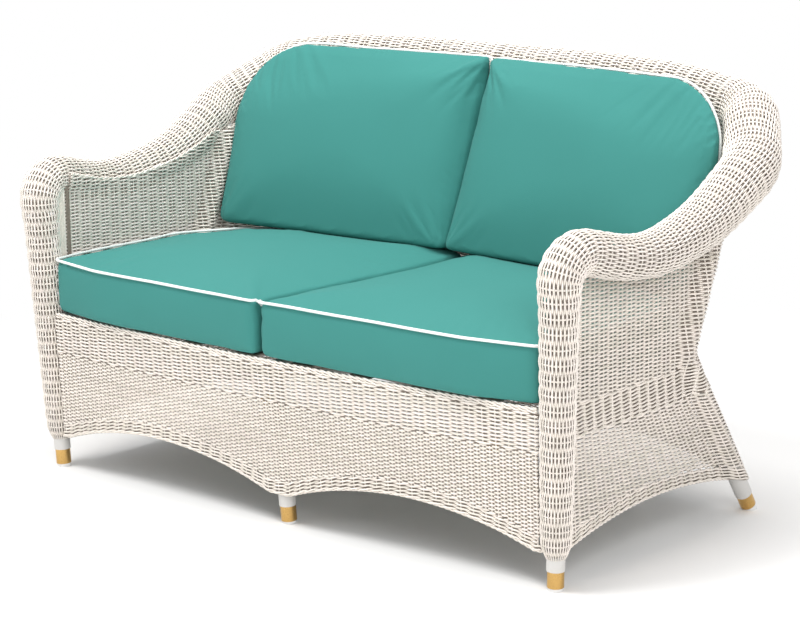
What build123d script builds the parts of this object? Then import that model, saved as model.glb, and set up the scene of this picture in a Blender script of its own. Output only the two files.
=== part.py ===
from build123d import *
from math import cos, radians, sin, tan
import os

# Patio loveseat: welded tube frame, woven wicker skins, four loose box cushions.
# Millimetres. X runs across the seat, Y from front to back, Z up from the floor.
# The origin is under the middle of the loveseat's outer box, at floor level.

os.makedirs("parts", exist_ok=True)

# Overall sizes
foot_half_spacing = 641  # middle of the seat to the outer feet
foot_depth = 632  # front feet to rear feet
back_height = 864  # floor to the top of the rolled back
front_reach = 60.5  # line of the front feet to the foremost point of the posts
rear_reach = 741  # line of the front feet to the hindmost point of the rolled back
seat_deck_height = 334  # floor to the webbing that carries the cushions
foot_line = (front_reach - rear_reach) / 2  # Y of the front feet
seat_middle = foot_line + foot_depth / 2

# Tubes and rods
leg_radius = 17
tube_wall = 2
rail_radius = 10
upright_radius = 8
rod_radius = 4
joint_gap = 0.05  # left between tubes that butt against each other

# Woven skins
weave_thickness = 5
roll_radius = 51  # the rolled rim at the middle of the back
leaf_height = 345  # where the back panel meets the rear skirt
skirt_base = 58  # lower edge of the woven skirts, before their arches are cut
braid_radius = 5
fit_gap = 0.2

# Webbing
strap_width = 50
strap_thickness = 2

# Cushions
seat_cushion_height = 110  # webbing to the piped rim
seat_crown_height = 21
seat_cushion_half_width = 630
seat_cushion_depth = 613
seat_cushion_reach = 51  # ahead of the line of the front feet, at the middle
back_cushion_width = 606
back_cushion_height = 384
back_crown_height = 24
cover_thickness = 6  # fabric with its sewn wadding
core_gap = 0.4
piping_radius = 3.2
body_gap = 0.5  # between a loose cushion and what it rests on
middle_gap = 2.5  # middle of the seat to each cushion


def place(across, back, up):
    return Vector(across, foot_line + back, up)


def corner(across_share, back_share, up_share):
    # corner of a tube's line, as shares of the foot spacing, the foot depth and the back height
    return place(
        across_share * foot_half_spacing, back_share * foot_depth, up_share * back_height
    )


def save(piece, name):
    piece.label = name
    export_step(piece, "parts/" + name + ".step")


def save_pair(piece, name):
    save(piece, name + "_right")
    save(mirror(piece, about=Plane.YZ), name + "_left")


def both_sides(piece):
    return [piece, mirror(piece, about=Plane.YZ)]


def bends(points, share):
    # radius of the bend at each inner point, so that the arcs nearly meet in the middle of a run
    radii = []
    for before, middle, after in zip(points, points[1:], points[2:]):
        run_in = middle - before
        run_out = after - middle
        half_turn = radians(run_in.get_angle(run_out) / 2)
        radii.append(share * min(run_in.length, run_out.length) / tan(half_turn))
    return radii


def bent_line(points, radii, close=False):
    with BuildLine(mode=Mode.PRIVATE) as line:
        FilletPolyline(*points, radius=radii, close=close)
    return line.wire()


def straight_line(start, end):
    with BuildLine(mode=Mode.PRIVATE) as line:
        Line(start, end)
    return line.wire()


def arc_line(start, middle, end):
    with BuildLine(mode=Mode.PRIVATE) as line:
        ThreePointArc(start, middle, end)
    return line.wire()


def square_plane(path, share):
    # plane square to a path, with its X axis towards the middle of the seat
    point = path @ share
    heading = (path % share).normalized()
    inward = Vector(-point.X, seat_middle - point.Y, 0)
    inward = inward - heading * inward.dot(heading)
    return Plane(origin=point, x_dir=inward.normalized(), z_dir=heading)


def tube(path, radius, cutters=()):
    # hollow tube along a path, coped where it meets other pieces
    with BuildPart(mode=Mode.PRIVATE) as piece:
        with BuildSketch(Plane(origin=path @ 0, z_dir=path % 0)):
            Circle(radius)
            Circle(radius - tube_wall, mode=Mode.SUBTRACT)
        sweep(path=path)
        for cutter in cutters:
            add(cutter, mode=Mode.SUBTRACT)
    return piece.part


def rod(path, radius, cutters=()):
    with BuildPart(mode=Mode.PRIVATE) as piece:
        with BuildSketch(Plane(origin=path @ 0, z_dir=path % 0)):
            Circle(radius)
        sweep(path=path)
        for cutter in cutters:
            add(cutter, mode=Mode.SUBTRACT)
    return piece.part


def roll_form(path, stations, inset=0):
    # round form through (share of the path, radius) stations
    with BuildPart(mode=Mode.PRIVATE) as piece:
        for share, radius in stations:
            with BuildSketch(square_plane(path, share)):
                Circle(radius - inset)
        loft(ruled=True)
    return piece.part


def sleeve(path, stations, cutters):
    with BuildPart(mode=Mode.PRIVATE) as piece:
        add(roll_form(path, stations))
        add(roll_form(path, stations, weave_thickness), mode=Mode.SUBTRACT)
        for cutter in cutters:
            add(cutter, mode=Mode.SUBTRACT)
    return piece.part


# Line of the rolled rim: from a front foot up the post, along the arm and round the back.
# The last corner is joined straight to its mirror image.
rim_corner_shares = [
    (1.036, -0.035, 0.720),
    (1.075, 0.301, 0.659),
    (1.066, 0.609, 0.699),
    (1.076, 0.854, 0.801),
    (0.945, 1.047, 0.900),
    (0.710, 1.057, 0.933),
    (0.387, 1.092, 0.941),
]
corner_bend = 50
bend_share = 0.45

front_foot = place(foot_half_spacing, 0, 0)
rim_corners = [corner(*shares) for shares in rim_corner_shares]
arm_corners = rim_corners[:4]
back_corners = rim_corners[4:]
post_heading = (arm_corners[0] - front_foot).normalized()
arm_heading = (arm_corners[1] - arm_corners[0]).normalized()
corner_reach = corner_bend * tan(radians(post_heading.get_angle(arm_heading) / 2))
post_top = arm_corners[0] - post_heading * (corner_reach + rod_radius)
shoulder = (arm_corners[-1] + back_corners[0]) / 2
far_shoulder = Vector(-shoulder.X, shoulder.Y, shoulder.Z)

arm_points = [post_top] + arm_corners + [shoulder]
arm_path = bent_line(arm_points, [corner_bend] + bends(arm_points, bend_share)[1:])
mirrored_corners = [Vector(-point.X, point.Y, point.Z) for point in reversed(back_corners)]
back_points = [shoulder] + back_corners + mirrored_corners + [far_shoulder]
back_path = bent_line(back_points, bends(back_points, bend_share))

# Feet: a white glide under a brass ferrule that plugs into the leg
glide_radius = 14
glide_stem_radius = 4
glide_stem_length = 12
ferrule_radius = 15.5
ferrule_length = 31
spigot_length = 15
front_glide_length = 6.5
rear_glide_length = 12  # the rear legs lean, so their glides are cut at a slant


def leg_start(floor_point, heading, glide_length):
    return floor_point + heading * (glide_length + ferrule_length)


# Legs: straight posts in front, sabre legs behind that run up as the uprights of the arms
rear_leg_corner_shares = [(1.0, 0.627, 0.411), (1.0, 0.812, 0.731), (1.067, 0.864, 0.817)]
knee_bend = 45
upright_bend = 30

front_leg_path = straight_line(
    leg_start(front_foot, post_heading, front_glide_length), post_top
)
rear_foot = place(foot_half_spacing, foot_depth, 0)
knee, back_bend, rear_leg_top = [corner(*shares) for shares in rear_leg_corner_shares]
rear_heading = (knee - rear_foot).normalized()
rear_leg_path = bent_line(
    [leg_start(rear_foot, rear_heading, rear_glide_length), knee, back_bend, rear_leg_top],
    [knee_bend, upright_bend],
)

arm_form = rod(arm_path, leg_radius)
back_form = rod(back_path, leg_radius)
front_leg_form = rod(front_leg_path, leg_radius)
rear_leg_form = rod(rear_leg_path, leg_radius)
front_leg_forms = both_sides(front_leg_form)
rear_leg_forms = both_sides(rear_leg_form)

save_pair(tube(front_leg_path, leg_radius), "front_leg")
save_pair(tube(rear_leg_path, leg_radius, [arm_form]), "rear_leg")
save_pair(tube(arm_path, leg_radius), "arm_tube")
save(tube(back_path, leg_radius), "back_top_tube")

# Plan of the back panel and the rear skirt at three heights: corners on the right-hand half, as
# shares of the foot spacing and the foot depth
skirt_corner_shares = [(1.0, 0.949), (0.920, 0.968), (0.671, 1.021)]
leaf_corner_shares = [(1.0, 0.636), (0.924, 0.823), (0.686, 0.943)]
rim_plan_shares = [(1.0, 0.959), (0.955, 1.013), (0.733, 1.036)]
rim_plan_height = 0.9606 * back_height
plan_bends = [90, 120, 120, 90]


def plan_points(corner_shares, inset=0):
    # corners from right to left, set inwards from both runs that meet there
    right = [
        Vector(across * foot_half_spacing, foot_line + back * foot_depth)
        for across, back in corner_shares
    ]
    points = right + [Vector(-point.X, point.Y) for point in reversed(right)]
    runs = [(after - before).normalized() for before, after in zip(points, points[1:])]
    inwards = [Vector(-run.Y, run.X) for run in runs]
    inwards = inwards[:1] + inwards + inwards[-1:]
    corners = []
    for point, before, after in zip(points, inwards, inwards[1:]):
        moved = point + (before + after) * (inset / (1 + before.dot(after)))
        corners.append((moved.X, moved.Y))
    return corners


def plan_strip(corner_shares, height):
    # strip as thick as the weave that follows the plan at one height
    outer = plan_points(corner_shares)
    inner = plan_points(corner_shares, weave_thickness)
    with BuildSketch(Plane.XY.offset(height), mode=Mode.PRIVATE) as strip:
        with BuildLine():
            FilletPolyline(*outer, radius=plan_bends)
            FilletPolyline(*inner, radius=plan_bends)
            Line(outer[0], inner[0])
            Line(outer[-1], inner[-1])
        make_face()
    return strip.sketch


# Seat frame: rails under the webbing
rail_height = seat_deck_height - 2 * strap_thickness - rail_radius
rail_inset = weave_thickness + rail_radius
front_rail_ends = 4  # ahead of the line of the front feet
front_rail_bow = 35
side_rail_half_spacing = 626

rail_start = place(foot_half_spacing, -front_rail_ends, rail_height)
rail_middle = place(0, -front_rail_ends - front_rail_bow, rail_height)
rail_end = place(-foot_half_spacing, -front_rail_ends, rail_height)
front_rail_path = arc_line(rail_start, rail_middle, rail_end)
front_rail_form = rod(front_rail_path, rail_radius)
save(tube(front_rail_path, rail_radius, front_leg_forms), "seat_front_rail")

rail_joint = rear_foot + (knee - rear_foot) * (rail_height / knee.Z)
rear_rail_plan = plan_points(leaf_corner_shares, rail_inset)
rear_rail_plan[0] = (rail_joint.X - leg_radius, rail_joint.Y)
rear_rail_plan[-1] = (leg_radius - rail_joint.X, rail_joint.Y)
rear_rail_path = bent_line(
    [(across, back, rail_height) for across, back in rear_rail_plan], plan_bends
)
rear_rail_form = rod(rear_rail_path, rail_radius)
save(tube(rear_rail_path, rail_radius, rear_leg_forms), "seat_rear_rail")

side_rail_path = straight_line(
    Vector(side_rail_half_spacing, rail_start.Y, rail_height),
    Vector(side_rail_half_spacing, rail_joint.Y, rail_height),
)
side_rail_forms = both_sides(rod(side_rail_path, rail_radius))
side_rail = tube(
    side_rail_path, rail_radius, [front_leg_form, rear_leg_form, front_rail_form, rear_rail_form]
)
save_pair(side_rail, "seat_side_rail")

cross_tube_path = straight_line(rail_middle, rear_rail_path @ 0.5)
cross_tube_form = rod(cross_tube_path, rail_radius)
save(tube(cross_tube_path, rail_radius, [front_rail_form, rear_rail_form]), "seat_cross_tube")

# Middle legs: they lean as the skirts in front of them and behind them do
front_middle_lean = 30
rear_middle_lean = 49
front_middle_foot = place(0, 0, 0)
front_middle_top = place(0, -front_middle_lean, rail_height)
rear_middle_foot = place(0, foot_depth, 0)
rear_middle_top = place(0, foot_depth - rear_middle_lean, rail_height)


def middle_leg_path(foot, top):
    return straight_line(leg_start(foot, (top - foot).normalized(), front_glide_length), top)


front_middle_path = middle_leg_path(front_middle_foot, front_middle_top)
rear_middle_path = middle_leg_path(rear_middle_foot, rear_middle_top)
front_middle_form = rod(front_middle_path, leg_radius)
rear_middle_form = rod(rear_middle_path, leg_radius)
middle_cutters = [front_rail_form, rear_rail_form, cross_tube_form]
save(tube(front_middle_path, leg_radius, middle_cutters), "front_middle_leg")
save(tube(rear_middle_path, leg_radius, middle_cutters), "rear_middle_leg")

# Uprights of the back, from the rear rail to the tube in the rolled rim
upright_spacing = 290
upright_rise_share = 0.872  # of the way from the rear rail to the rim's tube, up to the bend
upright_inset = 3  # ahead of the rail's middle line, clear of the back panel
upright_rise = upright_rise_share * (back_corners[-1].Z - rail_height)
panel_lean = (rim_plan_shares[-1][1] - leaf_corner_shares[-1][1]) * foot_depth
upright_lean = panel_lean * upright_rise / (rim_plan_height - leaf_height)


def upright_path(across):
    foot = place(across, leaf_corner_shares[-1][1] * foot_depth - rail_inset, rail_height)
    foot = foot - Vector(0, upright_inset, 0)
    bend = foot + Vector(0, upright_lean, upright_rise)
    top = Vector(across, back_corners[-1].Y, back_corners[-1].Z)
    return bent_line([foot, bend, top], upright_bend)


upright_forms = []
for across, side in [(upright_spacing, "right"), (0, "middle"), (-upright_spacing, "left")]:
    path = upright_path(across)
    upright_forms.append(rod(path, upright_radius))
    cutters = [back_form, rear_rail_form, cross_tube_form]
    save(tube(path, upright_radius, cutters), "back_upright_" + side)

# Woven sleeves of the rolled rim: (share of the path, share of the roll radius) along the posts,
# and the share of the roll radius at each corner of the rim
post_radius_shares = [(0.0, 0.42), (0.03, 0.58), (0.09, 0.64), (0.5, 0.70), (1.0, 0.78)]
rim_radius_shares = [0.80, 0.80, 0.95, 1.08, 1.05, 1.04, 1.0]
post_start_share = 0.045  # of the leg's length, where the weave begins above the foot
# shares of the paths where the sleeves have a station, closer together in the bends
arm_station_shares = [0, 0.02, 0.04, 0.06, 0.08, 0.10, 0.12, 0.15, 0.20, 0.25, 0.30, 0.35, 0.40,
                      0.45, 0.50, 0.55, 0.60, 0.65, 0.70, 0.75, 0.80, 0.85, 0.90, 0.95, 1.0]
half_back_shares = [0, 0.025, 0.05, 0.075, 0.10, 0.125, 0.15, 0.18, 0.22, 0.27, 0.34, 0.42]
path_steps = 200


def path_share(path, point):
    # share of a path's length at which it comes nearest to a point
    shares = [step / path_steps for step in range(path_steps + 1)]
    return min(shares, key=lambda share: (path @ share - point).length)


def blend(stations, share):
    # radius at a share, straight between the stations on either side
    for (low, radius_low), (high, radius_high) in zip(stations, stations[1:]):
        if share <= high:
            return radius_low + (radius_high - radius_low) * (share - low) / (high - low)
    return stations[-1][1]


def marked_radii(path, corners, radii):
    return [(path_share(path, point), radius) for point, radius in zip(corners, radii)]


rim_radii = [share * roll_radius for share in rim_radius_shares]
arm_radii = rim_radii[:4]
back_radii = rim_radii[4:]
shoulder_radius = (arm_radii[-1] + back_radii[0]) / 2
arm_marks = [(0, post_radius_shares[-1][1] * roll_radius)]
arm_marks += marked_radii(arm_path, arm_corners, arm_radii)
arm_marks += [(1, shoulder_radius)]
back_marks = [(0, shoulder_radius)] + marked_radii(back_path, back_corners, back_radii)
back_marks += [(1 - share, radius) for share, radius in reversed(back_marks)]
back_station_shares = half_back_shares + [1 - share for share in reversed(half_back_shares)]

post_stations = [(share, radius * roll_radius) for share, radius in post_radius_shares]
arm_stations = [(share, blend(arm_marks, share)) for share in arm_station_shares]
back_stations = [(share, blend(back_marks, share)) for share in back_station_shares]

post_path = straight_line(front_leg_path @ post_start_share, post_top)
post_blank = roll_form(post_path, post_stations)
post_blanks = both_sides(post_blank)
arm_blank = roll_form(arm_path, arm_stations)
arm_blanks = both_sides(arm_blank)
back_blank = roll_form(back_path, back_stations)

post_cutters = [front_leg_form, front_rail_form] + side_rail_forms
save_pair(sleeve(post_path, post_stations, post_cutters), "post_roll")
save_pair(sleeve(arm_path, arm_stations, [rear_leg_form]), "arm_roll")
save(sleeve(back_path, back_stations, upright_forms), "back_roll")

# Formers that hold the sleeves round their tubes
former_thickness = 4
former_rim_width = 7
hub_width = 4
spoke_width = 9
spoke_count = 3
post_former_shares = [0.16, 0.34, 0.52, 0.70, 0.88]
arm_former_shares = [0.18, 0.32, 0.46, 0.60, 0.74, 0.88]
back_former_shares = [0.06, 0.20, 0.35, 0.5, 0.65, 0.80, 0.94]


def formers(path, stations, shares, cutters):
    with BuildPart(mode=Mode.PRIVATE) as group:
        for share in shares:
            outer = blend(stations, share)
            rim = outer - weave_thickness - former_rim_width
            hub = leg_radius + hub_width
            spoke_length = rim - leg_radius
            with BuildSketch(square_plane(path, share)):
                Circle(outer)
                Circle(rim, mode=Mode.SUBTRACT)
                with PolarLocations(leg_radius + spoke_length / 2, spoke_count):
                    Rectangle(spoke_length + former_rim_width, spoke_width)
                Circle(hub)
                Circle(leg_radius + joint_gap, mode=Mode.SUBTRACT)
            extrude(amount=former_thickness / 2, both=True)
        add(roll_form(path, stations, weave_thickness + fit_gap), mode=Mode.INTERSECT)
        for cutter in cutters:
            add(cutter, mode=Mode.SUBTRACT)
    return group.part


save_pair(formers(post_path, post_stations, post_former_shares, post_cutters), "post_formers")
save_pair(formers(arm_path, arm_stations, arm_former_shares, [rear_leg_form]), "arm_formers")
save(formers(back_path, back_stations, back_former_shares, upright_forms), "back_formers")

# Woven side panels: one flat leaf a side, from the post to the rear leg
side_panel_inner = 638
side_arch_peak = 100
side_arch_end = 66
panel_overrun = 20
rear_leg_slope = (rear_foot.Y - knee.Y) / knee.Z
side_arch = [
    (foot_line + leg_radius, skirt_base),
    (seat_middle, side_arch_peak),
    (rear_foot.Y - side_arch_end * rear_leg_slope, side_arch_end),
]

with BuildPart() as side_weave:
    with BuildSketch(Plane.YZ.offset(side_panel_inner)):
        with BuildLine():
            ThreePointArc(*side_arch)
            Polyline(
                side_arch[-1],
                (knee.Y, knee.Z),
                (back_bend.Y, back_bend.Z),
                (arm_corners[2].Y + panel_overrun, arm_corners[2].Z + panel_overrun),
                (arm_corners[2].Y, arm_corners[2].Z),
                (arm_corners[1].Y, arm_corners[1].Z + panel_overrun),
                (foot_line + leg_radius, arm_corners[1].Z + panel_overrun),
                side_arch[0],
            )
        make_face()
    extrude(amount=weave_thickness)
    for cutter in [post_blank, arm_blank, rear_leg_form, front_leg_form, rear_rail_form]:
        add(cutter, mode=Mode.SUBTRACT)
save_pair(side_weave.part, "side_weave")

# Woven back panel, under the rim and between the rear uprights
panel_half_width = foot_half_spacing + panel_overrun
with BuildPart() as back_weave:
    add(plan_strip(leaf_corner_shares, leaf_height))
    add(plan_strip(rim_plan_shares, rim_plan_height))
    loft(ruled=True)
    with BuildSketch(Plane.XZ.offset(-rear_reach)):
        with BuildLine():
            Polyline(
                (panel_half_width, leaf_height),
                (panel_half_width, shoulder.Z),
                *[(point.X, point.Z) for point in back_points],
                (-panel_half_width, shoulder.Z),
                (-panel_half_width, leaf_height),
                close=True,
            )
        make_face()
    extrude(amount=2 * rear_reach, mode=Mode.INTERSECT)
    for cutter in arm_blanks + [back_blank] + rear_leg_forms + upright_forms:
        add(cutter, mode=Mode.SUBTRACT)
save(back_weave.part, "back_weave")

# Arches along the lower edges of the front and rear skirts
arch_inner = 26  # from the middle of the seat to the nearer end of each arch
arch_outer = 604
arch_middle = (arch_inner + arch_outer) / 2
arch_peak = 116
arch_inner_height = 62
arch_outer_height = 68

with BuildPart() as arch_block:
    with BuildSketch(Plane.XZ):
        for side in (1, -1):
            with BuildLine():
                inner_end = (side * arch_inner, arch_inner_height)
                outer_end = (side * arch_outer, arch_outer_height)
                ThreePointArc(inner_end, (side * arch_middle, arch_peak), outer_end)
                Polyline(outer_end, (side * arch_outer, 0), (side * arch_inner, 0), inner_end)
            make_face()
    extrude(amount=rear_reach, both=True)

# Front skirt: its top edge bows forward over the feet, under a plaited border
front_base_ends = 10  # ahead of the line of the front feet, at the posts
front_base_bow = 13.5
front_top_ends = 20.5
front_top_bow = 30
front_top_height = seat_deck_height - 2 * braid_radius


def front_strip(ends, bow, height):
    inner = foot_line - ends
    outer = inner - weave_thickness
    with BuildSketch(Plane.XY.offset(height), mode=Mode.PRIVATE) as strip:
        with BuildLine():
            for back in (inner, outer):
                ThreePointArc(
                    (-foot_half_spacing, back), (0, back - bow), (foot_half_spacing, back)
                )
            for across in (-foot_half_spacing, foot_half_spacing):
                Line((across, inner), (across, outer))
        make_face()
    return strip.sketch


with BuildPart() as front_skirt:
    add(front_strip(front_base_ends, front_base_bow, skirt_base))
    add(front_strip(front_top_ends, front_top_bow, front_top_height))
    loft(ruled=True)
    for cutter in post_blanks + front_leg_forms + [arch_block.part, front_middle_form]:
        add(cutter, mode=Mode.SUBTRACT)
save(front_skirt.part, "front_skirt_weave")

braid_ends = front_top_ends + weave_thickness / 2
braid_height = front_top_height + braid_radius
braid_end_share = 0.0185  # of the line, left off where it meets each post
braid_line = arc_line(
    place(-foot_half_spacing, -braid_ends, braid_height),
    place(0, -braid_ends - front_top_bow, braid_height),
    place(foot_half_spacing, -braid_ends, braid_height),
)
braid_path = braid_line.edge().trim(braid_end_share, 1 - braid_end_share)
save(rod(braid_path, braid_radius), "seat_front_braid")

# Rear skirt: from the rear feet up to the back panel
with BuildPart() as rear_skirt:
    add(plan_strip(skirt_corner_shares, skirt_base))
    add(plan_strip(leaf_corner_shares, leaf_height))
    loft(ruled=True)
    for cutter in rear_leg_forms + [arch_block.part, rear_middle_form]:
        add(cutter, mode=Mode.SUBTRACT)
save(rear_skirt.part, "rear_skirt_weave")

# Rods that stiffen the lower edges of the skirts and the side panels
rod_lift = rod_radius + fit_gap
rod_setback = 8  # ahead of the rear skirt and of its corner at the leg
rod_inner = leg_radius / 2  # the rods end inside the middle legs
skirt_lean = (skirt_corner_shares[-1][1] - leaf_corner_shares[-1][1]) * foot_depth
rear_slope = skirt_lean / (leaf_height - skirt_base)
rear_rod_base = skirt_corner_shares[-1][1] * foot_depth - weave_thickness - rod_lift
rear_rod_base = rear_rod_base - rod_setback

front_rod_path = arc_line(
    place(rod_inner, -front_base_bow - rod_lift, arch_inner_height + rod_lift),
    place(arch_middle, -front_base_ends - front_base_bow / 2, arch_peak + rod_lift),
    place(foot_half_spacing, -front_base_ends / 2, arch_outer_height + rod_lift),
)
rear_rod_path = arc_line(
    place(rod_inner, rear_rod_base, arch_inner_height + rod_lift),
    place(arch_middle, rear_rod_base - rear_slope * (arch_peak - skirt_base),
          arch_peak + rod_lift),
    place(foot_half_spacing, foot_depth - arch_outer_height * rear_leg_slope - rod_setback,
          arch_outer_height + rod_lift),
)
side_rod_path = arc_line(
    *[Vector(side_panel_inner - rod_lift, back, up + rod_lift) for back, up in side_arch]
)


def rod_pair(path, cutters, name):
    save(Compound(both_sides(rod(path, rod_radius, cutters))), name)


rod_pair(front_rod_path, [post_blank, front_middle_form], "front_skirt_rod")
rod_pair(rear_rod_path, [rear_leg_form, rear_middle_form], "rear_skirt_rod")
save_pair(rod(side_rod_path, rod_radius, [post_blank, rear_leg_form]), "side_skirt_rod")

# Webbing: straps front to back, and straps across on top of them, sewn round the rails
lengthwise_count = 8
lengthwise_pitch = 145
across_count = 4
across_pitch = 120
across_setback = 50  # middle of the crossing straps ahead of the middle of the seat
deck_base = rail_height + rail_radius

with BuildSketch(mode=Mode.PRIVATE) as deck_plan:
    with BuildLine():
        deck_rear = plan_points(leaf_corner_shares, rail_inset)
        rear_right = (side_rail_half_spacing, deck_rear[0][1])
        rear_left = (-side_rail_half_spacing, deck_rear[0][1])
        front_right = (side_rail_half_spacing, rail_start.Y)
        front_left = (-side_rail_half_spacing, rail_start.Y)
        FilletPolyline(rear_right, *deck_rear[1:-1], rear_left, radius=plan_bends)
        Line(rear_left, front_left)
        ThreePointArc(front_left, (0, rail_middle.Y), front_right)
        Line(front_right, rear_right)
    make_face()

with BuildPart() as long_straps:
    with BuildSketch(Plane.XY.offset(deck_base)):
        with GridLocations(lengthwise_pitch, 0, lengthwise_count, 1):
            Rectangle(strap_width, 2 * rear_reach)
        add(deck_plan.sketch, mode=Mode.INTERSECT)
    extrude(amount=strap_thickness)
save(long_straps.part, "seat_straps_lengthwise")

with BuildPart() as cross_straps:
    with BuildSketch(Plane.XY.offset(deck_base + strap_thickness)):
        with Locations((0, seat_middle - across_setback)):
            with GridLocations(0, across_pitch, 1, across_count):
                Rectangle(4 * foot_half_spacing, strap_width)
        add(deck_plan.sketch, mode=Mode.INTERSECT)
    extrude(amount=strap_thickness)
save(cross_straps.part, "seat_straps_across")


def foot_plane(floor_point, heading, lift=0):
    return Plane(origin=floor_point + heading * lift, x_dir=(1, 0, 0), z_dir=heading)


def glide(floor_point, heading, length):
    with BuildPart(mode=Mode.PRIVATE) as piece:
        with BuildSketch(foot_plane(floor_point, heading, -glide_radius)):
            Circle(glide_radius)
        extrude(amount=glide_radius + length)
        with BuildSketch(foot_plane(floor_point, heading, length)):
            Circle(glide_stem_radius)
        extrude(amount=glide_stem_length)
        split(bisect_by=Plane.XY, keep=Keep.TOP)
    return piece.part


def ferrule(floor_point, heading, glide_length):
    with BuildPart(mode=Mode.PRIVATE) as piece:
        with BuildSketch(foot_plane(floor_point, heading, glide_length)):
            Circle(ferrule_radius)
        extrude(amount=ferrule_length)
        with BuildSketch(foot_plane(floor_point, heading, glide_length + ferrule_length)):
            Circle(leg_radius - tube_wall - fit_gap)
        extrude(amount=spigot_length)
        with BuildSketch(foot_plane(floor_point, heading, glide_length)):
            Circle(glide_stem_radius + joint_gap)
        extrude(amount=glide_stem_length + fit_gap, mode=Mode.SUBTRACT)
    return piece.part


front_feet = (front_foot, post_heading, front_glide_length)
rear_feet = (rear_foot, rear_heading, rear_glide_length)
front_middle = (
    front_middle_foot, (front_middle_top - front_middle_foot).normalized(), front_glide_length
)
rear_middle = (
    rear_middle_foot, (rear_middle_top - rear_middle_foot).normalized(), front_glide_length
)
save_pair(ferrule(*front_feet), "ferrule_front")
save_pair(ferrule(*rear_feet), "ferrule_rear")
save(ferrule(*front_middle), "ferrule_front_middle")
save(ferrule(*rear_middle), "ferrule_rear_middle")
glides = both_sides(glide(*front_feet)) + both_sides(glide(*rear_feet))
save(Compound(glides + [glide(*front_middle), glide(*rear_middle)]), "foot_glides")


def scaled_corners(corner_shares, half_width, half_height, scale, inset):
    # corners of a closed outline round the origin of its plane
    wide = half_width * scale - inset
    high = half_height * scale - inset
    return [(across * wide, up * high) for across, up in corner_shares]


def cushion_body(sections):
    # solid through (plane, corners, bends) sections
    with BuildPart(mode=Mode.PRIVATE) as body:
        for plane, corners, corner_bends in sections:
            with BuildSketch(plane):
                with BuildLine():
                    FilletPolyline(*corners, radius=corner_bends, close=True)
                make_face()
        loft(ruled=True)
    return body.part


def seam(section):
    # closed line round one section
    plane, corners, corner_bends = section
    points = [plane.from_local_coords((across, up, 0)) for across, up in corners]
    return bent_line(points, corner_bends, close=True)


# Seat cushions: boxes with drawn-in sides and a crowned top, piped round the upper rim.
# Outline in plan, as shares of half the width and half the depth, from the front inner corner
seat_outline_shares = [
    (-1.0, -1.0), (0.934, -0.902), (1.0, -0.63), (1.0, 0.243), (0.78, 0.70), (0.366, 0.977),
    (-1.0, 1.0),
]
seat_outline_bends = [26, 28, 90, 110, 70, 110, 26]
# (share of the height to the rim, scale of the outline)
seat_side_shares = [(0.0, 0.965), (0.10, 0.992), (0.5, 1.0), (0.9, 0.996), (1.0, 0.985)]
# (share of the crown, scale of the outline)
crown_shares = [(0.40, 0.93), (0.76, 0.75), (0.94, 0.45), (1.0, 0.20)]
seat_half_width = (seat_cushion_half_width - middle_gap) / 2
seat_half_depth = seat_cushion_depth / 2
seat_cushion_middle = place(
    middle_gap + seat_half_width,
    seat_half_depth - seat_cushion_reach,
    seat_deck_height + body_gap,
)
seat_total_height = seat_cushion_height + seat_crown_height


def seat_section(lift, scale, inset=0):
    level = inset + lift * (seat_total_height - 2 * inset) / seat_total_height
    corners = scaled_corners(seat_outline_shares, seat_half_width, seat_half_depth, scale, inset)
    plane = Plane(origin=seat_cushion_middle + Vector(0, 0, level))
    return plane, corners, [radius * scale for radius in seat_outline_bends]


def seat_body(inset=0):
    levels = [(share * seat_cushion_height, scale) for share, scale in seat_side_shares]
    levels += [
        (seat_cushion_height + share * seat_crown_height, scale) for share, scale in crown_shares
    ]
    return cushion_body([seat_section(lift, scale, inset) for lift, scale in levels])


seat_rim = seat_section(seat_cushion_height, seat_side_shares[-1][1])
seat_piping = rod(seam(seat_rim), piping_radius)

# Back cushions: wedges that lean on the uprights, thin along the top, piped round the rear seam.
# Outline on the face, as shares of half the width and half the height, from the lower inner corner
back_outline_shares = [(-1.0, -1.0), (0.975, -1.0), (1.0, 1.0), (-1.0, 1.0)]
back_outline_bends = [22, 25, 180, 18]
# (share of the way from the rear seam to the front face, scale of the outline)
back_side_shares = [(0.0, 0.985), (0.12, 0.998), (0.5, 1.0), (0.86, 0.99), (1.0, 0.965)]
crown_rest_share = 0.70  # of the seat crown, where the back cushion rests on it
back_face_line = 487  # foot of the front face behind the front feet, at the middle
back_base_depth = 95
back_front_rake = 118  # how far the top of the front face lies behind its foot
back_rear_rake = 47
front_yaw = 4.5  # degrees that the outer end is turned forward
rear_yaw = 6.5
back_base_height = (
    seat_deck_height + 2 * body_gap + seat_cushion_height + crown_rest_share * seat_crown_height
)


def back_section(depth_share, bulge, scale, inset=0):
    inner_share = inset / back_base_depth
    share = inner_share + depth_share * (1 - 2 * inner_share)
    yaw = radians(rear_yaw + (front_yaw - rear_yaw) * share)
    across = Vector(cos(yaw), -sin(yaw), 0)
    backward = Vector(sin(yaw), cos(yaw), 0)
    foot = place(middle_gap, back_face_line, back_base_height)
    foot = foot + backward * back_base_depth * (1 - share)
    rake = back_rear_rake + (back_front_rake - back_rear_rake) * share
    rise = Vector(0, 0, back_cushion_height) + backward * rake
    half_width = back_cushion_width / 2
    middle = foot + across * half_width + rise / 2
    face = Plane(origin=middle, x_dir=across, z_dir=across.cross(rise))
    corners = scaled_corners(back_outline_shares, half_width, rise.length / 2, scale, inset)
    return face.offset(bulge), corners, [radius * scale for radius in back_outline_bends]


def back_body(inset=0):
    sections = [back_section(share, 0, scale, inset) for share, scale in back_side_shares]
    sections += [
        back_section(1, share * back_crown_height, scale, inset) for share, scale in crown_shares
    ]
    return cushion_body(sections)


back_seam = back_section(0, 0, back_side_shares[0][1])
back_piping = rod(seam(back_seam), piping_radius)


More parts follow.
